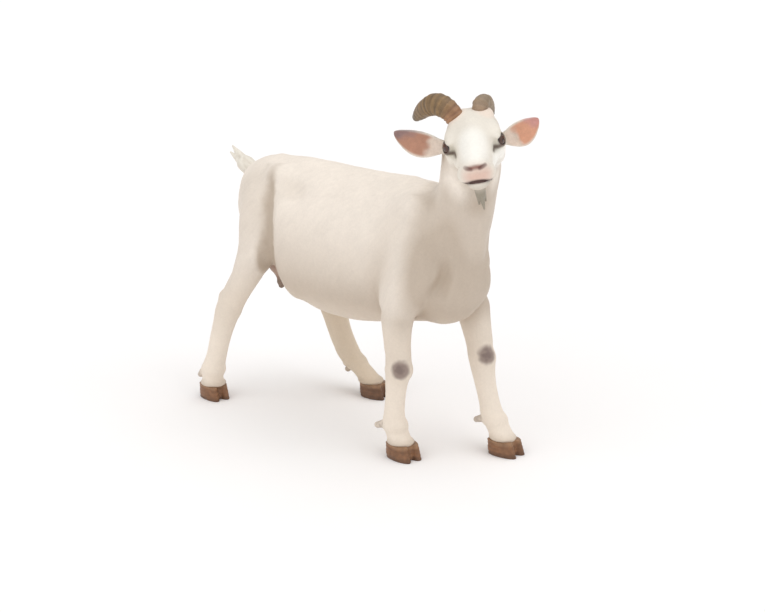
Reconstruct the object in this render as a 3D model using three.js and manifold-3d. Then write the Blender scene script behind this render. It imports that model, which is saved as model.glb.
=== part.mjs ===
// A moulded goat figurine that stands on four hooves. Millimetres, +X to the goat's front, +Y to its left,
// +Z up. Every moulding plugs into its neighbour by a round peg, and a glue gap is left all round it.
import * as THREE from "three";
import { mergeVertices } from "three/addons/utils/BufferGeometryUtils.js";
import Module from "manifold-3d";

const wasm = await Module();
wasm.setup();

// ---- Driving dimensions -------------------------------------------------------------------------

const GLUE_GAP = 0.3; // free space between two mouldings
const SPAN_STEPS = 2; // rings made for each pair of neighbouring stations
const TRUNK_SIDES = 26;
const NECK_SIDES = 18;
const HEAD_SIDES = 18;
const LIMB_SIDES = 12;
const HORN_SIDES = 9;
const PEG_SIDES = 12;

const HIP_SEAT = 5.2; // a hind leg's inner face stands this far from the goat's middle plane
const SHOULDER_SEAT = 4.8; // and a front leg's this far
const LIMB_PEG = { radius: 2.2, depth: 3.2 };
// A small peg's overlap is how far it reaches back into its own moulding.
const HORN_PEG = { radius: 0.9, depth: 2.2, overlap: 0.8 };
const EAR_PEG = { radius: 0.7, depth: 1.3, overlap: 1.2 };

// The trunk's cross sections, from the buttocks to the breast:
// [x, height of the top, height of the underside, half width, height of the widest point].
const TRUNK = [
  [-42.2, 53.6, 49.6, 1.2, 51.5],
  [-40.8, 56.4, 44.0, 3.8, 50.5],
  [-37.4, 58.2, 37.5, 6.2, 49.0],
  [-33.0, 59.2, 34.0, 7.6, 48.0],
  [-27.0, 59.8, 31.0, 8.8, 46.5],
  [-20.5, 60.6, 27.9, 11.4, 42.5],
  [-12.5, 61.0, 25.9, 12.8, 40.5],
  [-4.0, 61.0, 25.7, 12.9, 40.5],
  [5.0, 61.4, 27.2, 12.0, 41.5],
  [13.0, 62.4, 29.2, 10.8, 43.0],
  [20.0, 62.8, 30.6, 10.0, 44.5],
  [26.0, 60.5, 31.6, 9.2, 45.0],
  [30.5, 56.0, 34.2, 7.4, 45.0],
  [33.3, 51.5, 38.5, 4.6, 45.0],
  [34.4, 47.5, 42.5, 1.4, 45.0],
];

// Round lofts: [x, y, z, half thickness fore and aft, half thickness sideways].
const NECK = [
  [21.0, 0.0, 44.0, 8.0, 6.5],
  [24.0, 0.0, 50.5, 9.8, 7.8],
  [28.0, 0.0, 57.0, 8.4, 6.6],
  [31.0, 0.0, 63.0, 6.8, 6.0],
  [32.2, 0.1, 68.5, 6.2, 5.6],
  [32.2, 0.2, 73.0, 4.8, 4.6],
  [32.0, 0.2, 75.2, 2.4, 2.4],
];

const FRONT_RIGHT_LEG = [
  [19.5, -5.0, 57.0, 2.5, 2.0],
  [21.3, -7.0, 52.5, 6.0, 3.6],
  [22.6, -8.0, 45.5, 7.4, 4.3],
  [20.4, -8.8, 39.0, 6.2, 4.2],
  [18.6, -9.3, 33.0, 3.9, 3.3],
  [18.7, -9.5, 27.0, 3.3, 2.9],
  [19.0, -9.5, 21.0, 3.3, 3.1],
  [18.1, -9.5, 16.5, 2.6, 2.5],
  [17.6, -9.5, 11.5, 2.3, 2.2],
  [17.7, -9.4, 7.6, 2.8, 2.7],
  [18.9, -9.3, 5.4, 2.8, 2.7],
];

const FRONT_LEFT_LEG = [
  [19.5, 5.0, 57.0, 2.5, 2.0],
  [21.3, 6.8, 52.5, 5.8, 3.4],
  [22.8, 7.6, 45.5, 6.8, 4.0],
  [22.0, 8.4, 39.0, 6.2, 4.0],
  [23.4, 8.8, 33.0, 4.2, 3.3],
  [25.5, 9.0, 27.0, 3.4, 2.9],
  [27.3, 9.1, 21.4, 3.3, 3.1],
  [28.2, 9.2, 16.6, 2.7, 2.6],
  [29.6, 9.3, 11.5, 2.5, 2.3],
  [31.2, 9.3, 7.8, 2.9, 2.7],
  [33.4, 9.3, 5.4, 2.8, 2.7],
];

const HIND_RIGHT_LEG = [
  [-28.5, -5.0, 57.0, 3.0, 2.0],
  [-29.3, -6.3, 52.5, 6.4, 3.5],
  [-29.3, -7.0, 46.0, 7.4, 4.2],
  [-28.6, -8.2, 39.5, 5.7, 4.2],
  [-30.6, -9.8, 33.5, 4.0, 3.6],
  [-33.2, -11.4, 28.0, 3.6, 3.2],
  [-36.0, -12.6, 23.6, 3.7, 2.9],
  [-37.6, -13.2, 18.0, 2.8, 2.6],
  [-39.2, -13.7, 12.5, 2.7, 2.5],
  [-40.4, -14.1, 7.6, 2.9, 2.8],
  [-40.3, -14.3, 5.4, 2.8, 2.7],
];

const HIND_LEFT_LEG = [
  [-28.5, 5.0, 57.0, 3.0, 2.0],
  [-29.3, 6.3, 52.5, 6.4, 3.5],
  [-28.8, 7.0, 46.0, 7.4, 4.2],
  [-26.2, 8.4, 39.5, 5.9, 4.2],
  [-25.4, 10.0, 33.0, 4.4, 3.7],
  [-26.4, 11.6, 27.0, 3.8, 3.3],
  [-27.6, 12.7, 21.6, 3.9, 3.0],
  [-25.6, 13.3, 16.6, 3.2, 2.8],
  [-23.1, 13.8, 11.6, 3.2, 2.6],
  [-19.9, 14.1, 7.6, 3.3, 2.8],
  [-15.6, 14.4, 5.4, 2.8, 2.6],
];

const TAIL = [
  [-38.8, 0.0, 53.4, 1.7, 2.0],
  [-42.0, 0.0, 54.8, 1.7, 2.1],
  [-44.8, 0.0, 56.2, 1.5, 1.9],
  [-47.0, 0.0, 57.8, 1.0, 1.3],
  [-48.2, 0.0, 59.0, 0.3, 0.4],
];

const UDDER = [
  [-27.0, 0.0, 38.5, 4.0, 4.4],
  [-26.8, 0.0, 36.4, 5.2, 6.0],
  [-26.6, 0.0, 34.2, 5.0, 5.8],
  [-26.4, 0.0, 32.6, 3.6, 4.2],
  [-26.2, 0.0, 31.7, 1.6, 2.0],
];
// The left teat, as the last rows of a loft of its own. The right one mirrors it.
const TEAT = [
  [-26.4, 3.2, 33.8, 1.5, 1.5],
  [-26.1, 3.5, 31.4, 1.0, 1.0],
  [-25.8, 3.8, 29.0, 0.5, 0.5],
];

// The head has a frame of its own: +X along the bridge of the nose, +Z out of the forehead, and its origin
// at the poll.
const HEAD = { at: [31.6, -0.6, 81.2], yaw: -44, pitch: 17, roll: 10 };
// The skull's cross sections, in the trunk's order.
const SKULL = [
  [-4.6, -4.0, -7.0, 1.4, -5.5],
  [-3.6, -1.9, -9.4, 3.8, -5.5],
  [-1.0, -0.3, -10.9, 5.4, -5.3],
  [2.5, 0.4, -11.6, 6.3, -5.0],
  [6.0, 0.5, -11.6, 6.8, -4.6],
  [9.0, 0.2, -11.2, 6.1, -4.8],
  [12.0, -0.3, -10.6, 4.8, -5.2],
  [15.0, -0.6, -10.0, 4.2, -5.4],
  [17.6, -0.9, -9.6, 4.1, -5.4],
  [19.2, -1.7, -8.8, 3.4, -5.2],
  [20.1, -3.2, -7.0, 1.6, -5.1],
];
// The beard, a round loft like the neck's but in the head's frame.
const BEARD = [
  [14.2, 0.0, -8.6, 1.8, 1.7],
  [14.6, 0.0, -11.0, 1.6, 1.4],
  [15.0, 0.0, -14.0, 1.0, 0.9],
  [15.2, 0.0, -16.4, 0.3, 0.3],
];
// Horns, round sections along a curve in the head's frame: [x, y, z, radius fore and aft, radius sideways].
const RIGHT_HORN = [
  [1.4, -2.7, -0.9, 1.9, 1.9],
  [0.2, -3.9, 0.7, 2.1, 2.0],
  [-1.0, -5.6, 1.5, 2.2, 2.1],
  [-2.6, -7.6, 1.3, 2.1, 2.0],
  [-4.2, -9.6, -0.3, 1.8, 1.7],
  [-6.2, -11.7, -3.1, 1.0, 1.0],
];
const LEFT_HORN = [
  [1.3, 2.4, -0.9, 1.8, 1.8],
  [0.1, 2.8, 0.2, 1.9, 1.8],
  [-1.4, 3.3, 0.2, 1.8, 1.8],
  [-3.2, 3.8, -1.1, 1.6, 1.6],
  [-5.0, 4.0, -3.0, 1.4, 1.3],
  [-6.8, 4.2, -5.6, 0.9, 0.9],
];
const HORN_SIDEWAYS = [0, 0.3, 1]; // the direction of a horn section's last radius
// Ears, a leaf of cupped sections: root and tip in the head's frame, and how wide and deep the leaf is.
const EAR = { halfWidth: 2.9, cup: 1.1, skin: 0.9, droop: 0.9, stations: 8, strips: 6 };
const RIGHT_EAR = { root: [3.1, -6.4, -6.3], tip: [1.6, -16.9, -1.6], facing: [0.86, -0.05, 0.42] };
const LEFT_EAR = { root: [3.1, 6.3, -6.4], tip: [1.9, 14.5, -3.3], facing: [0.86, 0.05, 0.42] };

// Hooves: two claws with a cleft between them. Sizes are from the sole's centre.
// An outline's points lie on a rounded box: the lower its squareness, the squarer it is.
const HOOF = {
  height: 3.4,
  toe: 3.9,
  heel: 3.1,
  halfWidth: 3.2,
  squareness: 0.75,
  outline: 18,
  soleShare: 0.93,
  bevel: 0.5,
  topShare: 0.86,
  topShift: -0.7,
};
const CLEFT = { width: 0.6, height: 2.4, back: -0.4 };
const HOOF_PEG = { radius: 1.3, depth: 1.8 };
// Two dewclaws stand behind each fetlock. Rows are sections: how far back, apart and up from the fetlock's
// middle, then the two radii.
const DEWCLAW = [
  [1.4, 1.3, 0.8, 0.9, 0.8],
  [2.9, 1.6, 0.1, 0.8, 0.7],
  [4.0, 1.7, -0.6, 0.5, 0.5],
];
const SMALL_SIDES = 8; // sides of a dewclaw, a teat and the beard
const BEYOND = { x: 80, y: 40, z: 80 }; // farther out than any of the goat
// Where each sole's middle is, how far the hoof turns out in degrees, and its size.
const HOOVES = {
  hoof_front_right: { at: [20.6, -9.3], turn: -6, size: 1 },
  hoof_front_left: { at: [35.0, 9.3], turn: 4, size: 1 },
  hoof_hind_right: { at: [-39.8, -14.3], turn: -8, size: 0.92 },
  hoof_hind_left: { at: [-13.0, 14.4], turn: 6, size: 0.92 },
};

const COLOURS = {
  white_vinyl: { color: 0xe9e3da, roughness: 0.62, metalness: 0 },
  ear_vinyl: { color: 0xdcb5a0, roughness: 0.62, metalness: 0 },
  udder_vinyl: { color: 0xd9b3a4, roughness: 0.6, metalness: 0 },
  horn_vinyl: { color: 0x8d7358, roughness: 0.55, metalness: 0 },
  hoof_vinyl: { color: 0x7d563a, roughness: 0.5, metalness: 0 },
};

// ---- Geometry helpers ---------------------------------------------------------------------------

const vector = (p) => new THREE.Vector3(...p);

// A closed geometry's solid. Faces that point inwards are turned round.
function solidOf(geometry) {
  const bare = geometry.clone();
  bare.deleteAttribute("normal");
  bare.deleteAttribute("uv");
  const merged = mergeVertices(bare, 1e-4);
  const position = merged.attributes.position;
  const corner = [0, 1, 2].map(() => new THREE.Vector3());
  const triVerts = new Uint32Array(merged.index.array);
  let volume = 0;
  for (let i = 0; i < triVerts.length; i += 3) {
    corner.forEach((c, k) => c.fromBufferAttribute(position, triVerts[i + k]));
    volume += corner[0].dot(corner[1].clone().cross(corner[2]));
  }
  if (volume < 0) triVerts.reverse();
  return new wasm.Manifold(new wasm.Mesh({ numProp: 3, vertProperties: position.array, triVerts }));
}

// A solid's geometry, for a mesh.
function geometryOf(solid) {
  const { vertProperties, numProp, numVert, triVerts } = solid.getMesh();
  const position = new Float32Array(numVert * 3);
  for (let i = 0; i < numVert; i++) {
    const start = i * numProp;
    position.set(vertProperties.subarray(start, start + 3), i * 3);
  }
  const geometry = new THREE.BufferGeometry();
  geometry.setAttribute("position", new THREE.BufferAttribute(position, 3));
  geometry.setIndex(new THREE.BufferAttribute(new Uint32Array(triVerts), 1));
  const shaded = geometry.toNonIndexed();
  shaded.computeVertexNormals();
  return shaded;
}

// Rows of numbers made finer with a Catmull-Rom curve through each column.
function finer(rows, steps) {
  const at = (i) => rows[Math.min(Math.max(i, 0), rows.length - 1)];
  const out = [];
  for (let i = 0; i < rows.length - 1; i++)
    for (let k = 0; k < steps; k++) {
      const t = k / steps;
      out.push(
        at(i).map((b, column) => {
          const [a, c, d] = [at(i - 1)[column], at(i + 1)[column], at(i + 2)[column]];
          const curve = 2 * b + (c - a) * t + (2 * a - 5 * b + 4 * c - d) * t ** 2;
          return (curve + (3 * b - a - 3 * c + d) * t ** 3) / 2;
        }),
      );
    }
  out.push(rows[rows.length - 1]);
  return out;
}

// A closed skin over rings that all have the same number of points.
function skin(rings) {
  const sides = rings[0].length;
  const centre = (ring) => ring.reduce((sum, p) => sum.add(p), new THREE.Vector3()).divideScalar(sides);
  const first = centre(rings[0]);
  const last = centre(rings[rings.length - 1]);
  const points = [...rings.flat(), first, last];
  const index = [];
  for (let r = 0; r < rings.length - 1; r++)
    for (let s = 0; s < sides; s++) {
      const [a, b] = [r * sides + s, r * sides + ((s + 1) % sides)];
      index.push(a, b, b + sides, a, b + sides, a + sides);
    }
  const end = (rings.length - 1) * sides;
  for (let s = 0; s < sides; s++) {
    const next = (s + 1) % sides;
    index.push(next, s, end + sides, end + s, end + next, end + sides + 1);
  }
  return solidOf(new THREE.BufferGeometry().setFromPoints(points).setIndex(index));
}

// A loft of egg-shaped sections that stand across the X axis.
function eggLoft(sections, sides, grow = 0) {
  const rings = finer(sections, SPAN_STEPS).map(([x, top, bottom, halfWidth, level]) =>
    Array.from({ length: sides }, (_, s) => {
      const angle = (2 * Math.PI * s) / sides;
      const height = Math.cos(angle) > 0 ? top - level : level - bottom;
      return new THREE.Vector3(
        x,
        (halfWidth + grow) * Math.sin(angle),
        level + (height + grow) * Math.cos(angle),
      );
    }),
  );
  return skin(rings);
}

// A loft of oval sections that stand across a curve. `sideways` is the direction of each row's last number.
function limb(rows, sides, { grow = 0, sideways = [0, 1, 0] } = {}) {
  const stations = finer(rows, SPAN_STEPS);
  const middles = stations.map(([x, y, z]) => new THREE.Vector3(x, y, z));
  const rings = stations.map(([, , , fore, side], i) => {
    const before = middles[Math.max(i - 1, 0)];
    const after = middles[Math.min(i + 1, middles.length - 1)];
    const along = after.clone().sub(before).normalize();
    const across = vector(sideways).addScaledVector(along, -along.dot(vector(sideways))).normalize();
    const forward = new THREE.Vector3().crossVectors(across, along);
    return Array.from({ length: sides }, (_, s) => {
      const angle = (2 * Math.PI * s) / sides;
      return middles[i]
        .clone()
        .addScaledVector(forward, (fore + grow) * Math.cos(angle))
        .addScaledVector(across, (side + grow) * Math.sin(angle));
    });
  });
  return skin(rings);
}

// A round peg from one point to another.
function peg(from, to, radius) {
  const [start, end] = [vector(from), vector(to)];
  const along = end.clone().sub(start);
  const upright = new THREE.Vector3(0, 1, 0);
  const turn = new THREE.Quaternion().setFromUnitVectors(upright, along.clone().normalize());
  const geometry = new THREE.CylinderGeometry(radius, radius, along.length(), PEG_SIDES);
  geometry.applyQuaternion(turn);
  geometry.translate(...start.add(end).divideScalar(2).toArray());
  return solidOf(geometry);
}

// A box between two corners.
function block(low, high) {
  const size = high.map((h, i) => h - low[i]);
  const geometry = new THREE.BoxGeometry(...size);
  geometry.translate(...high.map((h, i) => (h + low[i]) / 2));
  return solidOf(geometry);
}

const moved = (solid, matrix) => solidOf(geometryOf(solid).applyMatrix4(matrix));
const joined = (solids) => solids.reduce((whole, next) => whole.add(next));
const without = (solid, cutters) => cutters.reduce((left, cutter) => left.subtract(cutter), solid);

function meshOf(name, solid, colour) {
  const mesh = new THREE.Mesh(geometryOf(solid), new THREE.MeshStandardMaterial(COLOURS[colour]));
  mesh.name = name;
  return mesh;
}

// ---- Hooves -------------------------------------------------------------------------------------

// The outline of a hoof at a height, with its size as a share of the sole's and its shift to the front.
function hoofOutline(share, shift, z, size) {
  const squared = (value) => Math.sign(value) * Math.abs(value) ** HOOF.squareness;
  return Array.from({ length: HOOF.outline }, (_, s) => {
    const angle = (2 * Math.PI * s) / HOOF.outline;
    const reach = Math.cos(angle) > 0 ? HOOF.toe : HOOF.heel;
    const x = squared(Math.cos(angle)) * reach * size;
    const y = squared(Math.sin(angle)) * HOOF.halfWidth * size;
    return new THREE.Vector3(x * share + shift, y * share, z);
  });
}

// One hoof about its own sole: a tapered block with a pointed toe, split by a cleft, with a socket on top.
function hoof(size) {
  const body = skin([
    hoofOutline(HOOF.soleShare, 0, 0, size),
    hoofOutline(1, 0, HOOF.bevel, size),
    hoofOutline(HOOF.topShare, HOOF.topShift, HOOF.height, size),
  ]);
  const cleft = block([CLEFT.back, -CLEFT.width / 2, -1], [HOOF.toe + 1, CLEFT.width / 2, CLEFT.height]);
  const socket = peg(
    [HOOF.topShift, 0, HOOF.height + 1],
    [HOOF.topShift, 0, HOOF.height - HOOF_PEG.depth - GLUE_GAP],
    HOOF_PEG.radius + GLUE_GAP,
  );
  return without(body, [cleft, socket]);
}

function hoofMatrix({ at, turn }) {
  const matrix = new THREE.Matrix4().makeRotationZ(THREE.MathUtils.degToRad(turn));
  return matrix.setPosition(at[0], at[1], 0);
}

// ---- Legs ---------------------------------------------------------------------------------------

function dewclaws([x, y, z]) {
  return [-1, 1].map((side) => {
    const rows = DEWCLAW.map(([back, apart, up, ...radii]) => [x - back, y + side * apart, z + up, ...radii]);
    return limb(rows, SMALL_SIDES);
  });
}

// One leg without its pegs. `grow` makes it bigger all round, as the cutter for its seat.
function legBody(rows, seat, grow = 0) {
  const onLeft = rows[0][1] > 0;
  const [inner, bottom] = [seat - grow, HOOF.height - grow];
  const outside = block(
    [-BEYOND.x, onLeft ? inner : -BEYOND.y, bottom],
    [BEYOND.x, onLeft ? BEYOND.y : -inner, BEYOND.z],
  );
  const fetlock = rows[rows.length - 2];
  const foot = rows[rows.length - 1];
  const path = [...rows, [foot[0], foot[1], HOOF.height - 1, foot[3], foot[4]]];
  return joined([limb(path, LIMB_SIDES, { grow }), ...dewclaws(fetlock)]).intersect(outside);
}

// The peg that holds a leg in the trunk, at the leg's third station.
function hipPeg(rows, seat, grow = 0) {
  const [x, y, z] = rows[2];
  const side = Math.sign(y);
  return peg(
    [x, side * (seat + 1), z],
    [x, side * (seat - LIMB_PEG.depth - grow), z],
    LIMB_PEG.radius + grow,
  );
}

function leg(rows, seat, hoofPlace) {
  const overHoof = (z) => vector([HOOF.topShift, 0, z]).applyMatrix4(hoofMatrix(hoofPlace)).toArray();
  const hoofTop = HOOF.height + GLUE_GAP;
  const clear = block([-BEYOND.x, -BEYOND.y, -1], [BEYOND.x, BEYOND.y, hoofTop]);
  const body = legBody(rows, seat).subtract(clear);
  const footPeg = peg(overHoof(hoofTop + 1), overHoof(HOOF.height - HOOF_PEG.depth), HOOF_PEG.radius);
  return joined([body, hipPeg(rows, seat), footPeg]);
}

const LEGS = {
  leg_front_right: { rows: FRONT_RIGHT_LEG, seat: SHOULDER_SEAT, hoof: HOOVES.hoof_front_right },
  leg_front_left: { rows: FRONT_LEFT_LEG, seat: SHOULDER_SEAT, hoof: HOOVES.hoof_front_left },
  leg_hind_right: { rows: HIND_RIGHT_LEG, seat: HIP_SEAT, hoof: HOOVES.hoof_hind_right },
  leg_hind_left: { rows: HIND_LEFT_LEG, seat: HIP_SEAT, hoof: HOOVES.hoof_hind_left },
};

// ---- Tail and udder -----------------------------------------------------------------------------

const tail = (grow = 0) => limb(TAIL, LIMB_SIDES, { grow });

function udder(grow = 0) {
  const teats = [-1, 1].map((side) => {
    const rows = TEAT.map(([x, y, ...others]) => [x, side * y, ...others]);
    return limb(rows, SMALL_SIDES, { grow });
  });
  return joined([limb(UDDER, LIMB_SIDES, { grow }), ...teats]);
}

// ---- Head, in its own frame ---------------------------------------------------------------------

const headMatrix = new THREE.Matrix4()
  .makeTranslation(...HEAD.at)
  .multiply(new THREE.Matrix4().makeRotationZ(THREE.MathUtils.degToRad(HEAD.yaw)))
  .multiply(new THREE.Matrix4().makeRotationY(THREE.MathUtils.degToRad(HEAD.pitch)))
  .multiply(new THREE.Matrix4().makeRotationX(THREE.MathUtils.degToRad(HEAD.roll)));

const horn = (rows, grow = 0) => limb(rows, HORN_SIDES, { grow, sideways: HORN_SIDEWAYS });

// A horn's peg runs on down from its root, along its first stretch.
function hornPeg(rows, grow = 0) {
  const root = vector(rows[0]);
  const inwards = root.clone().sub(vector(rows[1])).normalize();
  const start = root.clone().addScaledVector(inwards, -HORN_PEG.overlap);
  const end = root.clone().addScaledVector(inwards, HORN_PEG.depth + grow);
  return peg(start.toArray(), end.toArray(), HORN_PEG.radius + grow);
}

// Shape of the ear at a share t of its length: half width, depth of the cup, and thickness.
function earSection(t) {
  const leaf = 0.42 * (1 - t) + 1.5 * Math.sqrt(t) * (1 - t) ** 0.75;
  return {
    wide: EAR.halfWidth * Math.max(leaf, 0.12),
    cup: EAR.cup * Math.sin(Math.PI * Math.min(t * 1.25, 1)) ** 0.8,
    thick: EAR.skin * (1.25 - 0.75 * t),
  };
}

// A cupped leaf from root to tip. `facing` is where its hollow side looks.
function ear({ root, tip, facing }, grow = 0) {
  const [start, end] = [vector(root), vector(tip)];
  const along = end.clone().sub(start);
  const unit = along.clone().normalize();
  const out = vector(facing).addScaledVector(unit, -unit.dot(vector(facing))).normalize();
  const across = new THREE.Vector3().crossVectors(unit, out);
  const rings = [];
  for (let i = 0; i <= EAR.stations; i++) {
    const t = i / EAR.stations;
    const { wide, cup, thick } = earSection(t);
    const centre = start.clone().addScaledVector(along, t);
    centre.addScaledVector(across, EAR.droop * Math.sin(Math.PI * t) * Math.sign(unit.y));
    const edge = (k, side) => {
      const share = (2 * k) / EAR.strips - 1;
      const bulge = 1 - share ** 2;
      const back = -cup * bulge + (side * (thick + grow) * Math.sqrt(Math.max(bulge, 0.04))) / 2;
      return centre.clone().addScaledVector(across, (wide + grow) * share).addScaledVector(out, back);
    };
    const ring = [];
    for (let k = 0; k <= EAR.strips; k++) ring.push(edge(k, 1));
    for (let k = EAR.strips; k >= 0; k--) ring.push(edge(k, -1));
    rings.push(ring);
  }
  return skin(rings);
}

function earPeg({ root, tip }, grow = 0) {
  const start = vector(root);
  const unit = vector(tip).sub(start).normalize();
  const begin = start.clone().addScaledVector(unit, EAR_PEG.overlap);
  const end = start.clone().addScaledVector(unit, -EAR_PEG.depth - grow);
  return peg(begin.toArray(), end.toArray(), EAR_PEG.radius + grow);
}

function head() {
  const whole = joined([eggLoft(SKULL, HEAD_SIDES), limb(BEARD, SMALL_SIDES)]);
  const neck = moved(limb(NECK, NECK_SIDES, { grow: GLUE_GAP }), headMatrix.clone().invert());
  const sockets = [
    ...[RIGHT_HORN, LEFT_HORN].flatMap((rows) => [
      hornPeg(rows, GLUE_GAP),
      horn(rows, GLUE_GAP),
    ]),
    ...[RIGHT_EAR, LEFT_EAR].flatMap((place) => [earPeg(place, GLUE_GAP), ear(place, 2 * GLUE_GAP)]),
  ];
  return without(whole, [neck, ...sockets]);
}

// ---- Assembly -----------------------------------------------------------------------------------

function trunk() {
  const whole = joined([eggLoft(TRUNK, TRUNK_SIDES), limb(NECK, NECK_SIDES)]);
  const seats = Object.values(LEGS).flatMap(({ rows, seat }) => [
    legBody(rows, seat, GLUE_GAP),
    hipPeg(rows, seat, GLUE_GAP),
  ]);
  return without(whole, [...seats, tail(GLUE_GAP), udder(GLUE_GAP)]);
}

const goat = new THREE.Group();
goat.add(meshOf("trunk", trunk(), "white_vinyl"));

const legSolids = Object.fromEntries(
  Object.entries(LEGS).map(([name, { rows, seat, hoof: place }]) => [name, leg(rows, seat, place)]),
);
for (const [name, solid] of Object.entries(legSolids)) goat.add(meshOf(name, solid, "white_vinyl"));

for (const [name, place] of Object.entries(HOOVES)) {
  const mesh = meshOf(name, hoof(place.size), "hoof_vinyl");
  mesh.position.set(place.at[0], place.at[1], 0);
  mesh.rotation.z = THREE.MathUtils.degToRad(place.turn);
  goat.add(mesh);
}

goat.add(meshOf("tail", tail(), "white_vinyl"));
const hindSeats = [HIND_RIGHT_LEG, HIND_LEFT_LEG].map((rows) => legBody(rows, HIP_SEAT, GLUE_GAP));
goat.add(meshOf("udder", without(udder(), hindSeats), "udder_vinyl"));

const headGroup = new THREE.Group();
headGroup.applyMatrix4(headMatrix);
headGroup.add(
  meshOf("head", head(), "white_vinyl"),
  meshOf("horn_right", horn(RIGHT_HORN).add(hornPeg(RIGHT_HORN)), "horn_vinyl"),
  meshOf("horn_left", horn(LEFT_HORN).add(hornPeg(LEFT_HORN)), "horn_vinyl"),
  meshOf("ear_right", ear(RIGHT_EAR).add(earPeg(RIGHT_EAR)), "ear_vinyl"),
  meshOf("ear_left", ear(LEFT_EAR).add(earPeg(LEFT_EAR)), "ear_vinyl"),
);
goat.add(headGroup);

// The frame's origin is on the floor, under the middle of the whole figurine.
const extent = new THREE.Box3().setFromObject(goat, true);
const middle = extent.getCenter(new THREE.Vector3());
goat.position.set(-middle.x, -middle.y, -extent.min.z);

export default goat;
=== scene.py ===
"""A moulded and hand-painted white nanny goat, 1:12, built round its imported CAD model.

The skin is one field of distances, sculpted from tables of sections, eggs and cones. Each piece is the
share of the skin inside a region of its own, and neighbours lap over each other at the seams. The field
becomes quads on a lattice, then comes a shallow combed relief, and each vertex is painted from where it is.
"""
from concurrent.futures import ThreadPoolExecutor

import bpy
import numpy as np
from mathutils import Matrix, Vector


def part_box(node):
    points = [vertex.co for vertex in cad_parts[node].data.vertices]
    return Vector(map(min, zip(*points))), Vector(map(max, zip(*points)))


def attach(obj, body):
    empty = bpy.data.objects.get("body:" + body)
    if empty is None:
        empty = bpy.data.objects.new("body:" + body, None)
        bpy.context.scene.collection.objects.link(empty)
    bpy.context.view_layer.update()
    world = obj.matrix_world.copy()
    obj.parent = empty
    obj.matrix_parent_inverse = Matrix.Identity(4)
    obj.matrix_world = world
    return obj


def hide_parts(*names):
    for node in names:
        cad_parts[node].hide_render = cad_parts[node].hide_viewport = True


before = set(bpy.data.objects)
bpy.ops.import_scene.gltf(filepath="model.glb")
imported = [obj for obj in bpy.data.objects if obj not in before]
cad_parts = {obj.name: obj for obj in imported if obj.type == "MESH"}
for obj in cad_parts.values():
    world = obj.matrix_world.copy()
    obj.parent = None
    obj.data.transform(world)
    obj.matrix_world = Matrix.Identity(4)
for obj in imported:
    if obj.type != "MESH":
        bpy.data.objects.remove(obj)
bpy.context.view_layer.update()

MM = 0.001
# The middle of the front right hoof, in the goat's own frame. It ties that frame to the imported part's.
HOOF_MIDDLE = np.array([20.867, -9.311])
COARSENESS = 1.0
WORKERS = 4  # pieces sculpted at once


def goat_origin():
    """Where the goat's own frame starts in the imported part's frame, in millimetres."""
    low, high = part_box("hoof_front_right")
    middle = (np.array(low) + np.array(high))[:2] / 2 / MM
    return np.array([*(middle - HOOF_MIDDLE), 0.0])


ORIGIN = goat_origin()

# ---- Fields: signed distances in millimetres, in the goat's own frame ---------------------------
# +X to the front, +Y to its left, +Z up, and the floor at 0.
def soft_min(a, b, blend):
    """The union of two fields, with a fillet."""
    share = np.clip(0.5 + 0.5 * (b - a) / blend, 0, 1)
    return b + (a - b) * share - blend * share * (1 - share)


def soft_max(a, b, blend):
    """What two fields share, with a rounded edge."""
    return -soft_min(-a, -b, blend)


def joined(d, shapes):
    """A field with more fields joined on in turn, each with its own fillet."""
    for shape, fillet in shapes:
        d = soft_min(d, shape, fillet)
    return d


def length(v):
    return np.sqrt((v * v).sum(-1))


def mirrored(p):
    """Places with those on the right moved over to the left, so that one shape serves both sides."""
    return p * (1, 0, 1) + np.abs(p) * (0, 1, 0)


def cone(p, start, end, r_start, r_end):
    """A stretch with round ends."""
    start = np.array(start, float)
    axis = np.array(end) - start
    t = np.clip((p - start) @ axis / (axis @ axis), 0, 1)
    return length(p - start - t[:, None] * axis) - (r_start + (r_end - r_start) * t)


def turned(degrees):
    """Columns are the axes of a frame turned about Z, then Y, then X."""
    z, y, x = np.radians(degrees)
    about_z = np.array([[np.cos(z), -np.sin(z), 0], [np.sin(z), np.cos(z), 0], [0, 0, 1]])
    about_y = np.array([[np.cos(y), 0, np.sin(y)], [0, 1, 0], [-np.sin(y), 0, np.cos(y)]])
    about_x = np.array([[1, 0, 0], [0, np.cos(x), -np.sin(x)], [0, np.sin(x), np.cos(x)]])
    return about_z @ about_y @ about_x


def egg(p, centre, radii, turn=(0, 0, 0)):
    """An ellipsoid. Its radii lie along axes turned by `turn` degrees about Z, Y and X."""
    q = (p - np.array(centre)) @ turned(turn)
    radii = np.array(radii)
    near = length(q / radii) + 1e-9
    return near * (near - 1) / (length(q / radii**2) + 1e-9)


def smooth_rows(rows, step=0.1):
    """Rows keyed by their first number, on a smooth curve through every column."""
    rows = np.array(rows, float)
    rows = rows[np.argsort(rows[:, 0])]
    key, values = rows[:, 0], rows[:, 1:]
    slope = np.gradient(values, key, axis=0)
    fine = np.arange(key[0], key[-1] + step / 2, step)
    i = np.clip(np.searchsorted(key, fine, side="right") - 1, 0, len(key) - 2)
    span = (key[i + 1] - key[i])[:, None]
    t = (fine - key[i])[:, None] / span
    rise = 3 * t**2 - 2 * t**3
    out = (1 - rise) * values[i] + rise * values[i + 1]
    return fine, out + span * (t * (1 - t) ** 2 * slope[i] - t**2 * (1 - t) * slope[i + 1])


def look_up(table, at):
    fine, columns = table
    at = np.clip(at, fine[0], fine[-1])
    return [np.interp(at, fine, columns[:, c]) for c in range(columns.shape[1])]


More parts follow.
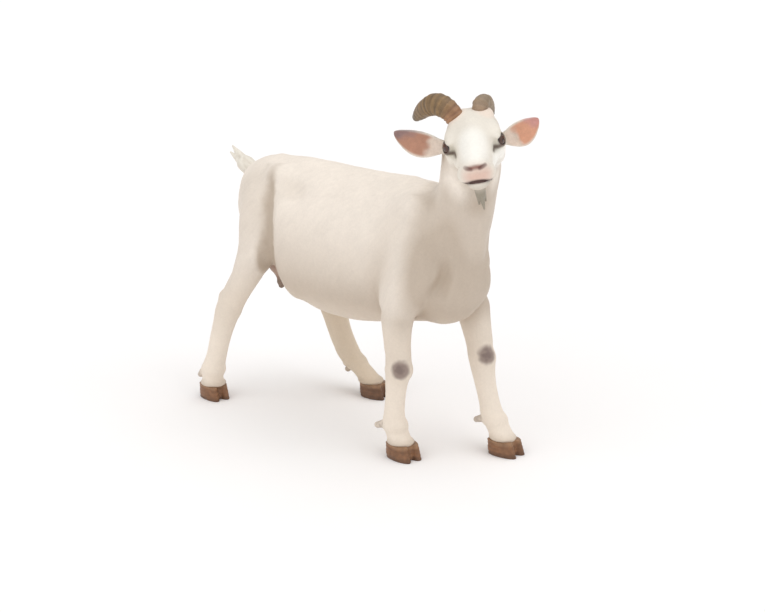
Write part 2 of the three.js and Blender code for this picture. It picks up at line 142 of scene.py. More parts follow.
def oval_loft(u, v, half_u, half_v, along, table):
    """Distance from oval sections round a middle line, closed where the table ends."""
    reach = np.sqrt(u**2 + v**2) + 1e-6
    share = np.sqrt((u / half_u) ** 2 + (v / half_v) ** 2) + 1e-6
    ends = np.maximum(table[0][0] - along, along - table[0][-1])
    return soft_max(reach * (1 - 1 / share), ends, 1.0)


def barrel(p, table):
    """Egg-shaped sections that stand across X."""
    top, bottom, half, level = look_up(table, p[:, 0])
    up = p[:, 2] - level
    tall = np.where(up > 0, top - level, level - bottom)
    return oval_loft(p[:, 1], up, half, tall, p[:, 0], table)


def column(p, table):
    """Oval sections that lie across Z."""
    x, y, deep, wide = look_up(table, p[:, 2])
    return oval_loft(p[:, 0] - x, p[:, 1] - y, deep, wide, p[:, 2], table)


def smooth_path(points, per=6):
    """A finer list of points on the smooth curve through a few."""
    table = smooth_rows(np.column_stack([np.arange(len(points)), points]), 0.02)
    return np.column_stack(look_up(table, np.linspace(0, len(points) - 1, per * (len(points) - 1) + 1)))


def tube(p, path):
    """Distance from a tube of changing radius, and how far along it the nearest place is, from 0 to 1."""
    best = np.full(len(p), 1e9)
    along = np.zeros(len(p))
    steps = np.r_[0, np.cumsum(length(np.diff(path[:, :3], axis=0)))]
    for i in range(len(path) - 1):
        a, r = path[i, :3], path[i, 3]
        axis = path[i + 1, :3] - a
        t = np.clip((p - a) @ axis / (axis @ axis), 0, 1)
        d = length(p - a - t[:, None] * axis) - (r + (path[i + 1, 3] - r) * t)
        along = np.where(d < best, steps[i] + t * (steps[i + 1] - steps[i]), along)
        best = np.minimum(d, best)
    return best, along / steps[-1]


# ---- Trunk and neck -----------------------------------------------------------------------------
# [x, height of the top, height of the underside, half width, height of the widest point]
TRUNK = smooth_rows([
    [-38.0, 56.6, 40.0, 6.2, 49.0],
    [-33.0, 58.9, 34.5, 7.6, 48.0],
    [-27.0, 59.9, 31.0, 8.9, 46.5],
    [-20.5, 60.7, 27.8, 11.3, 42.5],
    [-12.5, 61.0, 25.8, 12.8, 40.5],
    [-4.0, 61.0, 25.6, 12.8, 40.5],
    [5.0, 61.4, 27.0, 11.9, 41.5],
    [13.0, 62.3, 29.0, 10.6, 43.0],
    [20.0, 62.6, 30.6, 9.7, 44.5],
    [26.0, 60.0, 32.4, 8.6, 45.0],
    [29.0, 56.0, 35.0, 7.0, 45.0],
])
# [z, x, y, half depth, half width]
NECK = smooth_rows([
    [41.0, 20.0, 0.0, 8.6, 6.6],
    [46.0, 22.2, 0.0, 9.6, 7.4],
    [51.0, 24.6, 0.0, 9.6, 7.6],
    [57.0, 27.7, 0.0, 8.6, 6.7],
    [63.0, 30.4, 0.0, 7.0, 6.0],
    [68.5, 31.4, 0.0, 6.8, 5.9],
    [73.0, 31.5, 0.0, 6.2, 5.6],
    [77.0, 31.9, 0.0, 5.0, 4.8],
])
# The crease in front of the thigh, from the hip down to the groin: [x, y, z, radius].
FLANK_CREASE = smooth_path([
    [-25.0, 11.6, 58.6, 0.2],
    [-24.4, 11.3, 55.4, 0.8],
    [-23.4, 11.9, 51.2, 1.9],
    [-22.6, 13.0, 46.5, 2.4],
    [-22.6, 13.1, 41.5, 2.4],
    [-23.2, 11.4, 36.0, 1.9],
    [-24.0, 8.0, 32.0, 1.4],
], 3)
THIGH_REACH = 1.8  # how much further forward the left thigh is drawn at the groin


def thigh_forward(p):
    """How much further forward the left thigh is drawn: fully at the groin, and not at all at the hip."""
    _, y, z = p.T
    return THIGH_REACH * np.interp(z, [34, 56], [1, 0]) * (y > 0)


def flank_crease(p):
    q = np.column_stack([p[:, 0] - thigh_forward(p), np.abs(p[:, 1]), p[:, 2]])
    return tube(q, FLANK_CREASE)[0]


def trunk(p):
    left = mirrored(p)
    d = barrel(p, TRUNK)
    # Rump, breast and spine.
    d = joined(d, [
        (egg(p, (-33.0, 0, 49.6), (8.2, 7.2, 9.0)), 3.0),
        (egg(p, (24.6, 0, 45.0), (9.6, 8.0, 13.4), (0, -8, 0)), 3.0),
        (cone(p, (-30, 0, 58.7), (14, 0, 61.3), 0.9, 1.2), 2.6),
        # Seat bones, hip bones, shoulder blades, breast muscles and the belly's full rear edge.
        (egg(left, (-34.0, 4.2, 47.0), (4.7, 3.8, 8.0), (0, 6, 0)), 2.0),
        (egg(left, (-25.0, 5.0, 57.0), (3.6, 1.8, 1.8)), 3.0),
        (egg(left, (19.5, 6.0, 52.5), (6.6, 3.6, 8.6), (0, 14, 0)), 3.0),
        (egg(left, (28.6, 3.5, 42.0), (4.6, 3.8, 6.4)), 2.2),
        (egg(left, (-16.5, 8.4, 42.5), (5.6, 4.0, 12.5), (0, -4, 0)), 2.5),
    ])
    # The hollows behind the elbow and in front of the shoulder, and the soft dip under the loin.
    d = soft_max(d, -egg(left, (30.6, 10.4, 47.0), (3.0, 4.0, 8.5), (0, 8, 0)), 2.6)
    d = soft_max(d, -egg(left, (12.2, 15.2, 36.5), (2.6, 4.6, 9.0), (0, 6, 0)), 2.4)
    d = soft_max(d, -egg(left, (-17.0, 15.0, 56.6), (6.5, 6.0, 3.2)), 4.0)
    # The belly's ribs, a faint rise and fall.
    ribs = np.sin((p[:, 0] + 0.32 * (p[:, 2] - 40)) * 2 * np.pi / 4.6)
    window = np.exp(-(((p[:, 0] - 1) / 7.5) ** 2) - ((p[:, 2] - 45) / 8.5) ** 2)
    return d - 0.1 * ribs * window


def neck(p):
    left = mirrored(p)
    d = column(p, NECK)
    # The cords down the throat's sides, and the windpipe between them.
    d = soft_min(d, cone(left, (29.0, 3.2, 50.0), (34.4, 2.9, 69.0), 2.7, 2.0), 1.8)
    return soft_min(d, cone(p, (33.6, 0, 50.0), (37.2, 0, 68.0), 1.6, 1.6), 1.5)


# ---- Legs ---------------------------------------------------------------------------------------
# [z, x, y, half depth, half width]
FRONT_RIGHT = smooth_rows([
    [57.0, 19.8, -3.8, 3.2, 1.6],
    [52.5, 21.3, -6.7, 5.8, 3.4],
    [45.5, 22.4, -8.0, 7.2, 4.2],
    [39.0, 20.2, -8.8, 6.0, 4.1],
    [33.0, 18.7, -9.3, 3.9, 3.3],
    [27.0, 18.7, -9.5, 3.2, 2.8],
    [23.4, 18.9, -9.5, 3.05, 2.85],
    [20.6, 19.0, -9.5, 3.1, 2.95],
    [17.2, 18.3, -9.5, 2.6, 2.5],
    [14.0, 17.9, -9.5, 2.3, 2.2],
    [10.6, 17.6, -9.5, 2.35, 2.25],
    [7.4, 17.7, -9.4, 2.75, 2.6],
    [5.2, 18.6, -9.3, 2.7, 2.6],
    [3.0, 19.8, -9.3, 3.0, 2.85],
])
FRONT_LEFT = smooth_rows([
    [57.0, 19.8, 3.8, 3.2, 1.6],
    [52.5, 21.3, 6.6, 5.6, 3.2],
    [45.5, 22.8, 7.6, 6.7, 4.0],
    [39.0, 22.0, 8.4, 6.1, 4.0],
    [33.0, 23.6, 8.8, 4.3, 3.3],
    [27.0, 25.5, 9.0, 3.4, 2.9],
    [24.0, 26.4, 9.1, 3.2, 2.85],
    [21.2, 27.1, 9.1, 3.2, 2.95],
    [17.6, 27.7, 9.2, 2.75, 2.55],
    [14.0, 28.6, 9.2, 2.45, 2.25],
    [10.8, 29.6, 9.3, 2.45, 2.3],
    [7.6, 30.9, 9.3, 2.9, 2.65],
    [5.2, 32.7, 9.3, 2.9, 2.65],
    [3.0, 34.2, 9.3, 3.1, 2.85],
])
HIND_RIGHT = smooth_rows([
    [58.0, -28.8, -2.6, 3.2, 1.2],
    [52.5, -29.4, -6.0, 5.6, 3.6],
    [46.0, -29.4, -7.2, 6.4, 4.3],
    [39.5, -29.2, -8.5, 5.7, 4.2],
    [33.5, -30.9, -10.0, 4.3, 3.6],
    [29.0, -32.9, -11.3, 3.8, 3.1],
    [25.6, -34.8, -12.2, 3.9, 2.8],
    [23.0, -35.9, -12.7, 3.7, 2.7],
    [19.5, -37.0, -13.1, 3.0, 2.6],
    [15.0, -38.4, -13.5, 2.6, 2.4],
    [11.0, -39.4, -13.8, 2.6, 2.4],
    [7.4, -40.4, -14.1, 2.85, 2.65],
    [5.2, -40.6, -14.2, 2.65, 2.5],
    [3.0, -40.4, -14.3, 2.8, 2.65],
])
HIND_LEFT = smooth_rows([
    [58.0, -28.8, 2.6, 3.2, 1.2],
    [52.5, -29.4, 6.0, 5.6, 3.6],
    [46.0, -29.0, 7.2, 6.4, 4.3],
    [39.5, -26.8, 8.7, 5.9, 4.2],
    [33.0, -25.5, 10.2, 4.6, 3.7],
    [28.0, -26.3, 11.4, 4.0, 3.3],
    [24.4, -27.2, 12.2, 4.1, 3.0],
    [21.4, -27.4, 12.8, 4.0, 2.9],
    [18.0, -26.2, 13.2, 3.5, 2.8],
    [14.4, -24.9, 13.5, 3.4, 2.6],
    [10.8, -23.2, 13.9, 3.7, 2.5],
    [7.4, -20.5, 14.1, 3.7, 2.65],
    [5.2, -16.9, 14.3, 3.1, 2.55],
    [3.0, -13.9, 14.4, 2.8, 2.65],
])
# A leg's rows, its knee's or hock's height, and its hoof: the sole's middle, its turn and its size.
LEGS = {
    "leg_front_right": {"rows": FRONT_RIGHT, "front": True, "joint": 20.8, "hoof": (20.6, -9.3, -6, 1.0)},
    "leg_front_left": {"rows": FRONT_LEFT, "front": True, "joint": 21.4, "hoof": (35.0, 9.3, 4, 1.0)},
    "leg_hind_right": {"rows": HIND_RIGHT, "front": False, "joint": 24.0, "hoof": (-39.8, -14.3, -8, 0.92)},
    "leg_hind_left": {"rows": HIND_LEFT, "front": False, "joint": 22.0, "hoof": (-13.0, 14.4, 6, 0.92)},
}
HOOF_TOP = 3.4
DEWCLAWS_AT = (-1.3, 1.3)  # to each side of a leg's middle


def leg_point(rows, z, forward=0.0, outward=0.0):
    """A place in a leg at height z, in shares of its half depth and half width from its middle."""
    x, y, deep, wide = (float(v[0]) for v in look_up(rows, np.array([z])))
    return x + forward * deep, y + np.sign(y) * outward * wide, z


def leg(p, part):
    rows, front, joint = part["rows"], part["front"], part["joint"]

    def at(z, forward=0.0, outward=0.0):
        return leg_point(rows, z, forward, outward)

    d = column(p, rows)
    if front:
        # Elbow, forearm muscles, the knee's flat front and the small bone behind it.
        d = joined(d, [
            (egg(p, at(37.5, -0.75, 0.1), (2.3, 1.9, 3.2)), 2.0),
            (cone(p, at(33, 0.4, 0.35), at(25.5, 0.25, 0.35), 2.4, 1.7), 1.2),
            (cone(p, at(33, -0.3, 0.5), at(26, -0.4, 0.3), 1.9, 1.3), 0.9),
            (egg(p, at(joint, 0.36), (2.2, 2.55, 2.5)), 0.6),
            (egg(p, at(joint - 0.3, -0.78, 0.1), (1.1, 1.3, 1.5)), 0.7),
        ])
        shank_top = joint - 4.2
    else:
        # Stifle, gaskin, the cord above the hock, the hock's point and its front.
        d = joined(d, [
            (egg(p, at(38.5, 0.5, 0.35), (3.4, 2.4, 4.4), (0, 18, 0)), 2.2),
            (cone(p, at(36, 0.0, 0.45), at(28.5, 0.1, 0.35), 3.0, 1.8), 1.2),
            (cone(p, at(joint + 1.8, -0.82), at(joint + 9.5, -0.9), 0.95, 0.9), 0.7),
            (egg(p, at(joint + 1.4, -0.76), (1.3, 1.35, 1.9)), 0.7),
            (egg(p, at(joint - 0.6, 0.32, 0.1), (2.2, 2.3, 2.6)), 0.8),
        ])
        shank_top = joint - 5.5
    # The tendon behind the cannon bone, the fetlock, and the band above the hoof.
    d = joined(d, [
        (cone(p, at(shank_top, -0.7), at(9.4, -0.72), 0.95, 1.0), 0.3),
        (cone(p, at(shank_top, 0.4), at(9.4, 0.36), 1.5, 1.5), 0.45),
        (egg(p, at(7.2, 0.2), (2.5, 2.7, 1.9)), 0.7),
        (egg(p, at(6.9, -0.62), (1.4, 2.0, 1.6)), 0.6),
        (egg(p, at(3.7, 0.05), (3.15, 3.05, 0.95)), 0.5),
    ])
    for apart in DEWCLAWS_AT:
        d = soft_min(d, dewclaw(p, rows, front, apart), 0.3)
    return d


def dewclaw(p, rows, front, apart):
    x, y, z = leg_point(rows, 7.0 if front else 5.8, -0.8)
    reach = 2.0 if front else 0.7
    return cone(p, (x, y + apart, z + 0.3), (x - reach, y + 1.15 * apart, z - 0.5), 0.95, 0.72)


# ---- Head, in a frame of its own: +X along the nose, +Z out of the forehead, origin at the poll --
HEAD_AT = np.array([31.6, -0.6, 81.2])
HEAD_AXES = turned((-44, 17, 10))
EYE = np.array([7.1, 5.15, -4.15])
EYE_RADIUS = 1.55
EYE_LOOK = np.array([0.44, 0.88, 0.18])
NECK_SEAM = {"at": np.array([-4.5, 0, -5.5]), "normal": np.array([0.514, 0, 0.857])}


def to_head(p):
    return (p - HEAD_AT) @ HEAD_AXES


def from_head(q):
    return np.array(q) @ HEAD_AXES.T + HEAD_AT


def skull(q, left):
    d = egg(q, (1.4, 0, -5.0), (6.0, 5.8, 5.4))
    return joined(d, [
        (egg(q, (4.6, 0, -2.9), (5.8, 5.0, 3.3)), 1.6),
        # The bridge of the nose over the muzzle.
        (cone(q, (6.5, 0, -5.2), (15.8, 0, -5.3), 4.5, 3.3), 1.6),
        (cone(q, (5.0, 0, -2.0), (16.4, 0, -3.2), 2.5, 1.9), 1.4),
        # Brow, jaw muscle, cheekbone, jaw and upper lip.
        (egg(left, (6.2, 4.75, -2.2), (2.9, 1.3, 0.8), (8, 8, 0)), 1.3),
        (egg(left, (4.0, 4.1, -7.4), (4.4, 2.2, 3.7), (10, 0, 0)), 1.0),
        (cone(left, (5.2, 5.3, -6.2), (11.0, 3.9, -6.5), 0.8, 0.6), 1.6),
        (cone(left, (2.0, 3.1, -8.8), (14.0, 1.7, -8.5), 2.3, 1.5), 1.2),
        (egg(left, (16.7, 1.9, -5.5), (2.7, 2.2, 1.9), (8, 0, 0)), 0.7),
        # Nose pad, chin, and the swelling that each horn grows from.
        (egg(q, (17.8, 0, -3.7), (2.3, 2.9, 2.3)), 1.0),
        (egg(q, (15.7, 0, -8.5), (2.3, 2.4, 1.5)), 0.8),
        (egg(left, (0.9, 2.5, -1.1), (2.6, 2.4, 1.5)), 1.1),
    ])


def with_locks(p, d, locks, tip_radius, fillet):
    """A field with pointed locks of hair: each has its root, its tip and the radius at its root."""
    for root, tip, radius in locks:
        d = soft_min(d, cone(p, root, tip, radius, tip_radius), fillet)
    return d


def beard(q):
    d = cone(q, (14.2, 0, -8.8), (14.9, 0, -12.2), 1.4, 1.0)
    locks = [
        [(14.6, 0.0, -11.4), (15.3, 0.2, -15.7), 1.0],
        [(14.2, 0.5, -10.8), (14.3, 0.8, -14.4), 0.75],
        [(14.4, -0.5, -10.8), (14.6, -0.7, -14.8), 0.75],
        [(15.3, 0.1, -10.2), (16.0, 0.1, -14.2), 0.6],
    ]
    return with_locks(q, d, locks, 0.2, 0.3)


def eyelids(left):
    """A rim round the eye, open where the eye looks out and heavier above."""
    shell = np.abs(length(left - EYE) - 1.13 * EYE_RADIUS) - 0.24
    outward = (left - EYE) @ (EYE_LOOK / length(EYE_LOOK))
    above = (left - EYE)[:, 2]
    return soft_max(shell, outward + 0.3 * above - 0.74 * EYE_RADIUS, 0.3)


def mouth_line(q):
    """The height of the lips' meeting line. It drops towards the corners of the mouth."""
    back = np.clip(19.0 - q[:, 0], 0, 7)
    return -6.45 - 0.24 * back - 0.02 * back**2 - 0.07 * q[:, 1] ** 2


def mouth(q):
    """Positive inside the slit between the lips, which narrows to nothing at its corners."""
    half = 0.28 * np.clip((q[:, 0] - 12.4) / 1.8, -1, 1)
    core = np.sqrt(((q[:, 0] - 12.0) / 7.0) ** 2 + (q[:, 1] / 3.0) ** 2) - 1
    return np.minimum(half - np.abs(q[:, 2] - mouth_line(q)), 3.0 * core)


def nostril(left):
    return cone(left, (19.9, 1.0, -2.7), (18.9, 2.5, -2.55), 0.26, 0.36)


def head(p):
    q = to_head(p)
    left = mirrored(q)
    d = soft_min(skull(q, left), beard(q), 0.5)
    # The hollow in front of the eye, the eye's socket and its lids.
    d = soft_max(d, -cone(left, (9.0, 5.7, -4.4), (11.2, 4.3, -4.5), 0.6, 0.25), 0.6)
    d = soft_max(d, 1.06 * EYE_RADIUS - length(left - EYE), 0.25)
    d = soft_min(d, eyelids(left), 0.5)
    d = soft_max(d, 1.03 * EYE_RADIUS - length(left - EYE), 0.12)
    # Nostrils, the groove under them, and the mouth.
    d = soft_max(d, -nostril(left), 0.3)
    d = soft_max(d, -cone(q, (20.5, 0, -3.4), (20.2, 0, -6.2), 0.24, 0.24), 0.3)
    return soft_max(d, mouth(q), 0.3)


# ---- Horns and ears, in the head's frame --------------------------------------------------------
# [x, y, z, radius]
HORNS = {
    "horn_right": smooth_path([
        [1.6, -2.6, -2.2, 2.0],
        [0.4, -3.9, 0.1, 2.15],
        [-0.7, -5.3, 1.3, 2.35],
        [-2.3, -7.1, 1.4, 2.4],
        [-3.9, -9.3, 0.0, 2.0],
        [-5.4, -10.8, -1.8, 1.6],
        [-6.5, -12.0, -3.4, 1.0],
    ]),
    "horn_left": smooth_path([
        [1.4, 2.0, -2.0, 1.5],
        [0.3, 2.2, 0.0, 1.65],
        [-1.0, 2.7, 0.7, 1.7],
        [-2.8, 3.5, 0.0, 1.5],
        [-4.4, 4.0, -1.7, 1.25],
        [-5.6, 4.3, -3.6, 0.9],
        [-6.4, 4.4, -5.3, 0.55],
    ]),
}
RING_COUNT = 13
EARS = {
    "ear_right": {"root": (3.3, -6.2, -6.4), "tip": (1.6, -16.9, -1.6), "facing": (0.86, -0.05, 0.42)},
    "ear_left": {"root": (3.4, 6.0, -6.5), "tip": (2.0, 14.4, -3.5), "facing": (0.86, 0.05, 0.42)},
}
# Half an ear's width at shares of its length.
EAR_WIDTHS = smooth_rows([
    [-0.2, 0.95],
    [0.0, 1.15],
    [0.12, 1.7],
    [0.3, 2.5],
    [0.47, 2.8],
    [0.66, 2.5],
    [0.83, 1.7],
    [0.94, 0.95],
    [1.0, 0.3],
], 0.01)


def horn_rings(p, along):
    """1 on a growth ring and 0 between two."""
    wander = 0.35 * np.sin(p[:, 0] * 1.3 + p[:, 2] * 0.9)
    return 0.5 + 0.5 * np.cos(2 * np.pi * RING_COUNT * along**0.9 + wander)


def horn(p, name):
    """A horn's field, and how far along it each place is."""
    q = to_head(p)
    path = HORNS[name]
    middle = path[len(path) // 2, :3]
    d, along = length(q - middle) - 9, np.zeros(len(p))
    near = d < 3
    d[near], along[near] = tube(q[near], path)
    return d - 0.15 * horn_rings(p, along) ** 3 * np.clip(1.1 - along, 0, 1), along


def ear_local(p, name):
    """Along an ear, across it (positive at its lower edge) and out of its hollow, with the ear's length."""
    root, tip, facing = (np.array(EARS[name][k], float) for k in ("root", "tip", "facing"))
    size = length(tip - root)
    along = (tip - root) / size
    out = facing - along * (facing @ along)
    out /= length(out)
    local = (to_head(p) - root) @ np.column_stack([along, np.cross(along, out), out])
    return local * (1, np.sign(root[1]), 1), size


def ear_leaf(local, size):
    """Across an ear from its bent middle line, half its width there, and out from its cupped leaf."""
    (half,) = look_up(EAR_WIDTHS, local[:, 0] / size)
    u = np.clip(local[:, 0] / size, 0, 1)
    v = local[:, 1] - 0.95 * np.sin(np.pi * u) ** 0.8
    cup = (1.6 - 1.0 * u) * np.clip(0.35 + u * 2.2, 0, 1)
    return v, half, local[:, 2] + cup * (1 - np.clip(v / half, -1, 1) ** 2) - 0.25 * u


def ear(p, name):
    local, size = ear_local(p, name)
    v, half, leaf = ear_leaf(local, size)
    thick = 0.52 - 0.2 * np.clip(local[:, 0] / size, 0, 1)
    d = soft_max(np.abs(leaf) * 0.85 - thick, np.abs(v) - half, 0.3)
    d = soft_max(soft_max(d, local[:, 0] - size, 0.3), -local[:, 0] - 1.0, 0.3)
    # A fold inside, and the stalk.
    d = soft_min(d, cone(local, (1.0, 0.4, -0.9), (6.5, 1.2, -0.75), 0.55, 0.25), 0.4)
    return soft_min(d, cone(local, (-2.6, -0.1, -0.8), (1.2, 0.1, -0.9), 1.45, 0.95), 1.0)


# ---- Tail, udder and hooves ---------------------------------------------------------------------
def tail(p):
    d = cone(p * (1, 0.85, 1), (-38.0, 0, 52.9), (-43.2, 0, 55.5), 1.9, 1.9)
    locks = [
        [(-43.0, 0.0, 55.5), (-48.1, 0.1, 59.0), 1.6],
        [(-43.6, 0.5, 55.1), (-47.2, 0.9, 56.6), 1.0],
        [(-43.6, -0.6, 55.2), (-47.8, -0.8, 57.6), 1.0],
        [(-42.6, 0.0, 54.2), (-45.6, 0.1, 54.9), 0.9],
    ]
    return with_locks(p, d, locks, 0.25, 0.4)


def udder(p):
    left = mirrored(p)
    d = egg(left, (-27.0, 2.8, 35.9), (4.9, 3.5, 4.8), (0, 12, 0))
    return joined(d, [
        (egg(p, (-27.2, 0, 37.5), (4.2, 3.2, 4.4)), 0.9),
        (cone(left, (-26.6, 3.4, 33.2), (-26.3, 4.1, 30.4), 1.7, 1.05), 0.9),
        (cone(left, (-26.3, 4.1, 30.2), (-26.2, 4.2, 29.4), 1.0, 0.7), 0.25),
    ])


def hoof(p, place):
    x, y, turn, size = place
    q = (p - (x, y, 0)) @ turned((turn, 0, 0)) / (size, size, 1)
    left = mirrored(q)
    lean = q[:, 0] + 0.24 * (q[:, 2] - 0.4)
    narrow = 1 - 0.035 * q[:, 2]
    # Each claw is a rounded block that narrows to its toe.
    across = left[:, 1] - (1.66 - 0.03 * q[:, 0])
    half = 1.6 * narrow * (1 - 0.045 * np.clip(lean, 0, 4) ** 1.4)
    reach = np.sqrt((lean - 0.2) ** 2 + across**2) + 1e-6
    share = (np.abs((lean - 0.2) / (3.7 * narrow)) ** 2.5 + np.abs(across / half) ** 2.5) ** 0.4 + 1e-6
    d = reach * (1 - 1 / share)
    d = joined(d, [
        (egg(left, (-2.3, 1.35, 1.4), (1.5, 1.6, 1.6)), 0.3),
        # The web between the claws leaves only a shallow groove in front.
        (egg(q, (-0.6, 0, 1.9), (3.1, 2.4, 2.2)), 0.35),
        (cone(q, (-1.0, 0, 1.4), (1.9, 0, 0.8), 1.4, 0.9), 0.3),
    ])
    d = d - 0.035 * np.sin(q[:, 2] * 2 * np.pi / 0.8 + 0.5 * np.sin(q[:, 1] * 2))
    d = soft_max(d, -q[:, 2], 0.25)
    return np.maximum(d, q[:, 2] - HOOF_TOP)


# ---- The coat: all that is white, as one field, shared out between the pieces by regions --------
LAP = 0.6  # neighbouring pieces share this much of the skin on each side of a seam, so that none shows
SINK = 0.08  # and the end of each lap lies this far under the neighbour
ON_SKIN = 0.08  # a vertex nearer to the skin than this belongs to it, and not to a cut face
# From the side, the ovals that a shoulder and a haunch fill: middle, radii, and the seat's distance from
# the goat's middle plane.
SHOULDER = ((21.6, 0, 45.5), (6.3, 1, 11.0), 4.8)
HAUNCH = ((-31.3, 0, 46.0), (9.4, 1, 11.0), 5.2)
# How far a leg's region reaches beyond the leg's own depth, at some heights.
STRIP_MARGIN = ([29.5, 32.0, 37.0], [3.8, 1.2, -1.2])


def where_near(near, whole, field, far=50.0):
    """A field worked out only where `near` is true."""
    out = np.full(len(whole), far)
    if near.any():
        out[near] = field(whole[near])
    return out


def neck_side(p):
    """Positive on the head's side of the seam round the throat."""
    return (to_head(p) - NECK_SEAM["at"]) @ NECK_SEAM["normal"]


def coat(p):
    x, y, z = p.T
    d = where_near(z < 74, p, trunk)
    d = soft_min(d, where_near((z > 36) & (x > 4), p, neck), 3.0)
    for part in LEGS.values():
        low, high = part["rows"][1].min(0), part["rows"][1].max(0)
        near = (x > low[0] - 12) & (x < high[0] + 11) & (z < 63)
        near &= (y > low[1] - 7) & (y < high[1] + 7)
        d = soft_min(d, where_near(near, p, lambda q, part=part: leg(q, part)), 1.6)
    near = (x < -14) & (x > -34) & (z > 28) & (z < 64)
    d = soft_max(d, -where_near(near, p, flank_crease), 1.3)
    near = neck_side(p) > -5
    d = soft_min(d, where_near(near, p, head), 1.2)
    for name in EARS:
        d = soft_min(d, where_near(near, p, lambda q, name=name: ear(q, name)), 0.5)
    return d


def leg_region(name):
    """The share of the coat that belongs to a leg. From the side it's an oval over a column."""
    part = LEGS[name]
    side = -1 if "right" in name else 1
    middle, radii, seat = SHOULDER if part["front"] else HAUNCH

    def region(p):
        flat = (p - middle) * (1, 0, 1)
        if name == "leg_hind_left":
            flat[:, 0] -= 0.6 * THIGH_REACH
        oval = egg(flat, (0, 0, 0), radii)
        x, _, deep, _ = look_up(part["rows"], p[:, 2])
        strip = np.abs(p[:, 0] - x) - deep - np.interp(p[:, 2], *STRIP_MARGIN)
        strip = np.maximum(strip, p[:, 2] - 41)
        # A leg ends at its seat, towards the goat's middle plane.
        return np.maximum(soft_min(oval, strip, 3.0), seat - side * p[:, 1])

    return region


def grown(field, by):
    return lambda p: field(p) - by


def outside(field, lap=LAP):
    """The rest of the world, and a lap into the field's own solid."""
    return lambda p: -field(p) - lap


def above(height):
    return lambda p: height - p[:, 2]


# A piece is what all of its fields share, inside a box, at a cell size in millimetres.
def pieces():
    legs = {name: leg_region(name) for name in LEGS}
    horns = {name: (lambda p, name=name: horn(p, name)[0]) for name in HORNS}
    ears = {name: (lambda p, name=name: ear(p, name)) for name in EARS}
    head_side = lambda p: -neck_side(p)
    out = {}
    out["trunk"] = {
        "fields": [coat, *(outside(r) for r in legs.values()), outside(head_side), outside(tail, 0.2),
                   outside(udder, 0.2)],
        "box": ((-44, -15, 24), (42, 15, 79)), "cell": 0.36,
    }
    out["head"] = {
        "fields": [coat, grown(head_side, LAP), *(outside(grown(e, 0.35), 0.3) for e in ears.values()),
                   *(outside(h, 0.2) for h in horns.values())],
        "box": ((21, -16, 59), (49, 9, 84)), "cell": 0.16,
    }
    for name, part in LEGS.items():
        low, high = part["rows"][1].min(0), part["rows"][1].max(0)
        out[name] = {
            "fields": [coat, grown(legs[name], LAP), above(HOOF_TOP - 0.15), outside(udder, 0.2)],
            "box": ((low[0] - 12, low[1] - 6, 2.5), (high[0] + 9, high[1] + 6, 62)), "cell": 0.21,
        }
        x, y = part["hoof"][:2]
        out["hoof" + name[3:]] = {
            "fields": [lambda p, part=part: hoof(p, part["hoof"])],
            "box": ((x - 6, y - 5, -1), (x + 6, y + 5, 4.6)), "cell": 0.15,
        }
    out["tail"] = {"fields": [tail], "box": ((-50, -4, 49), (-34, 4, 61)), "cell": 0.16}
    out["udder"] = {"fields": [udder], "box": ((-34, -8, 27), (-20, 8, 43)), "cell": 0.2}
    for name in HORNS:
        out[name] = {"fields": [horns[name]], "box": ((14, -22, 68), (46, 20, 92)), "cell": 0.16}
    for name in EARS:
        out[name] = {
            "fields": [coat, grown(ears[name], 0.65)],
            "box": ((14, -22, 62), (50, 20, 88)), "cell": 0.15,
        }
    for name, side in (("eye_left", 1), ("eye_right", -1)):
        centre = from_head(EYE * (1, side, 1))
        out[name] = {
            "fields": [lambda p, centre=centre: length(p - centre) - EYE_RADIUS],
            "box": (centre - 2, centre + 2), "cell": 0.14,
        }
    return out


# ---- Surfaces: fields to quads ------------------------------------------------------------------
CHUNK = 24000  # points worked out at a time
BLOCK = 4  # cells along a coarse block's edge
EDGE_MISS = 0.02  # a vertex that stays this far from an edge is left where it was, in millimetres
CORNERS = [(i, j, k) for i in (0, 1) for j in (0, 1) for k in (0, 1)]


def evaluate(field, points):
    return np.concatenate([field(points[i:i + CHUNK]) for i in range(0, len(points), CHUNK)])


def meeting(fields):
    """What all the fields share."""
    return lambda p: np.max([f(p) for f in fields], axis=0)


def sample(field, low, count, cell):
    """The field on a lattice: exact near the surface, and roughly right elsewhere."""
    blocks = (count - 1) // BLOCK
    grid = np.stack(np.meshgrid(*[np.arange(c) for c in blocks], indexing="ij"), -1).reshape(-1, 3)
    coarse = evaluate(field, low + (grid + 0.5) * BLOCK * cell)
    kept = grid[np.abs(coarse) < 1.5 * cell * BLOCK]
    values = coarse.reshape(blocks)
    for axis in range(3):
        values = np.repeat(values, BLOCK, axis)
    values = np.pad(values, ((0, 1), (0, 1), (0, 1)), mode="edge")
    exact = np.zeros(count, bool)
    for offset in np.ndindex(BLOCK + 1, BLOCK + 1, BLOCK + 1):
        exact[tuple((kept * BLOCK + offset).T)] = True
    values[exact] = evaluate(field, low + np.argwhere(exact) * cell)
    return values


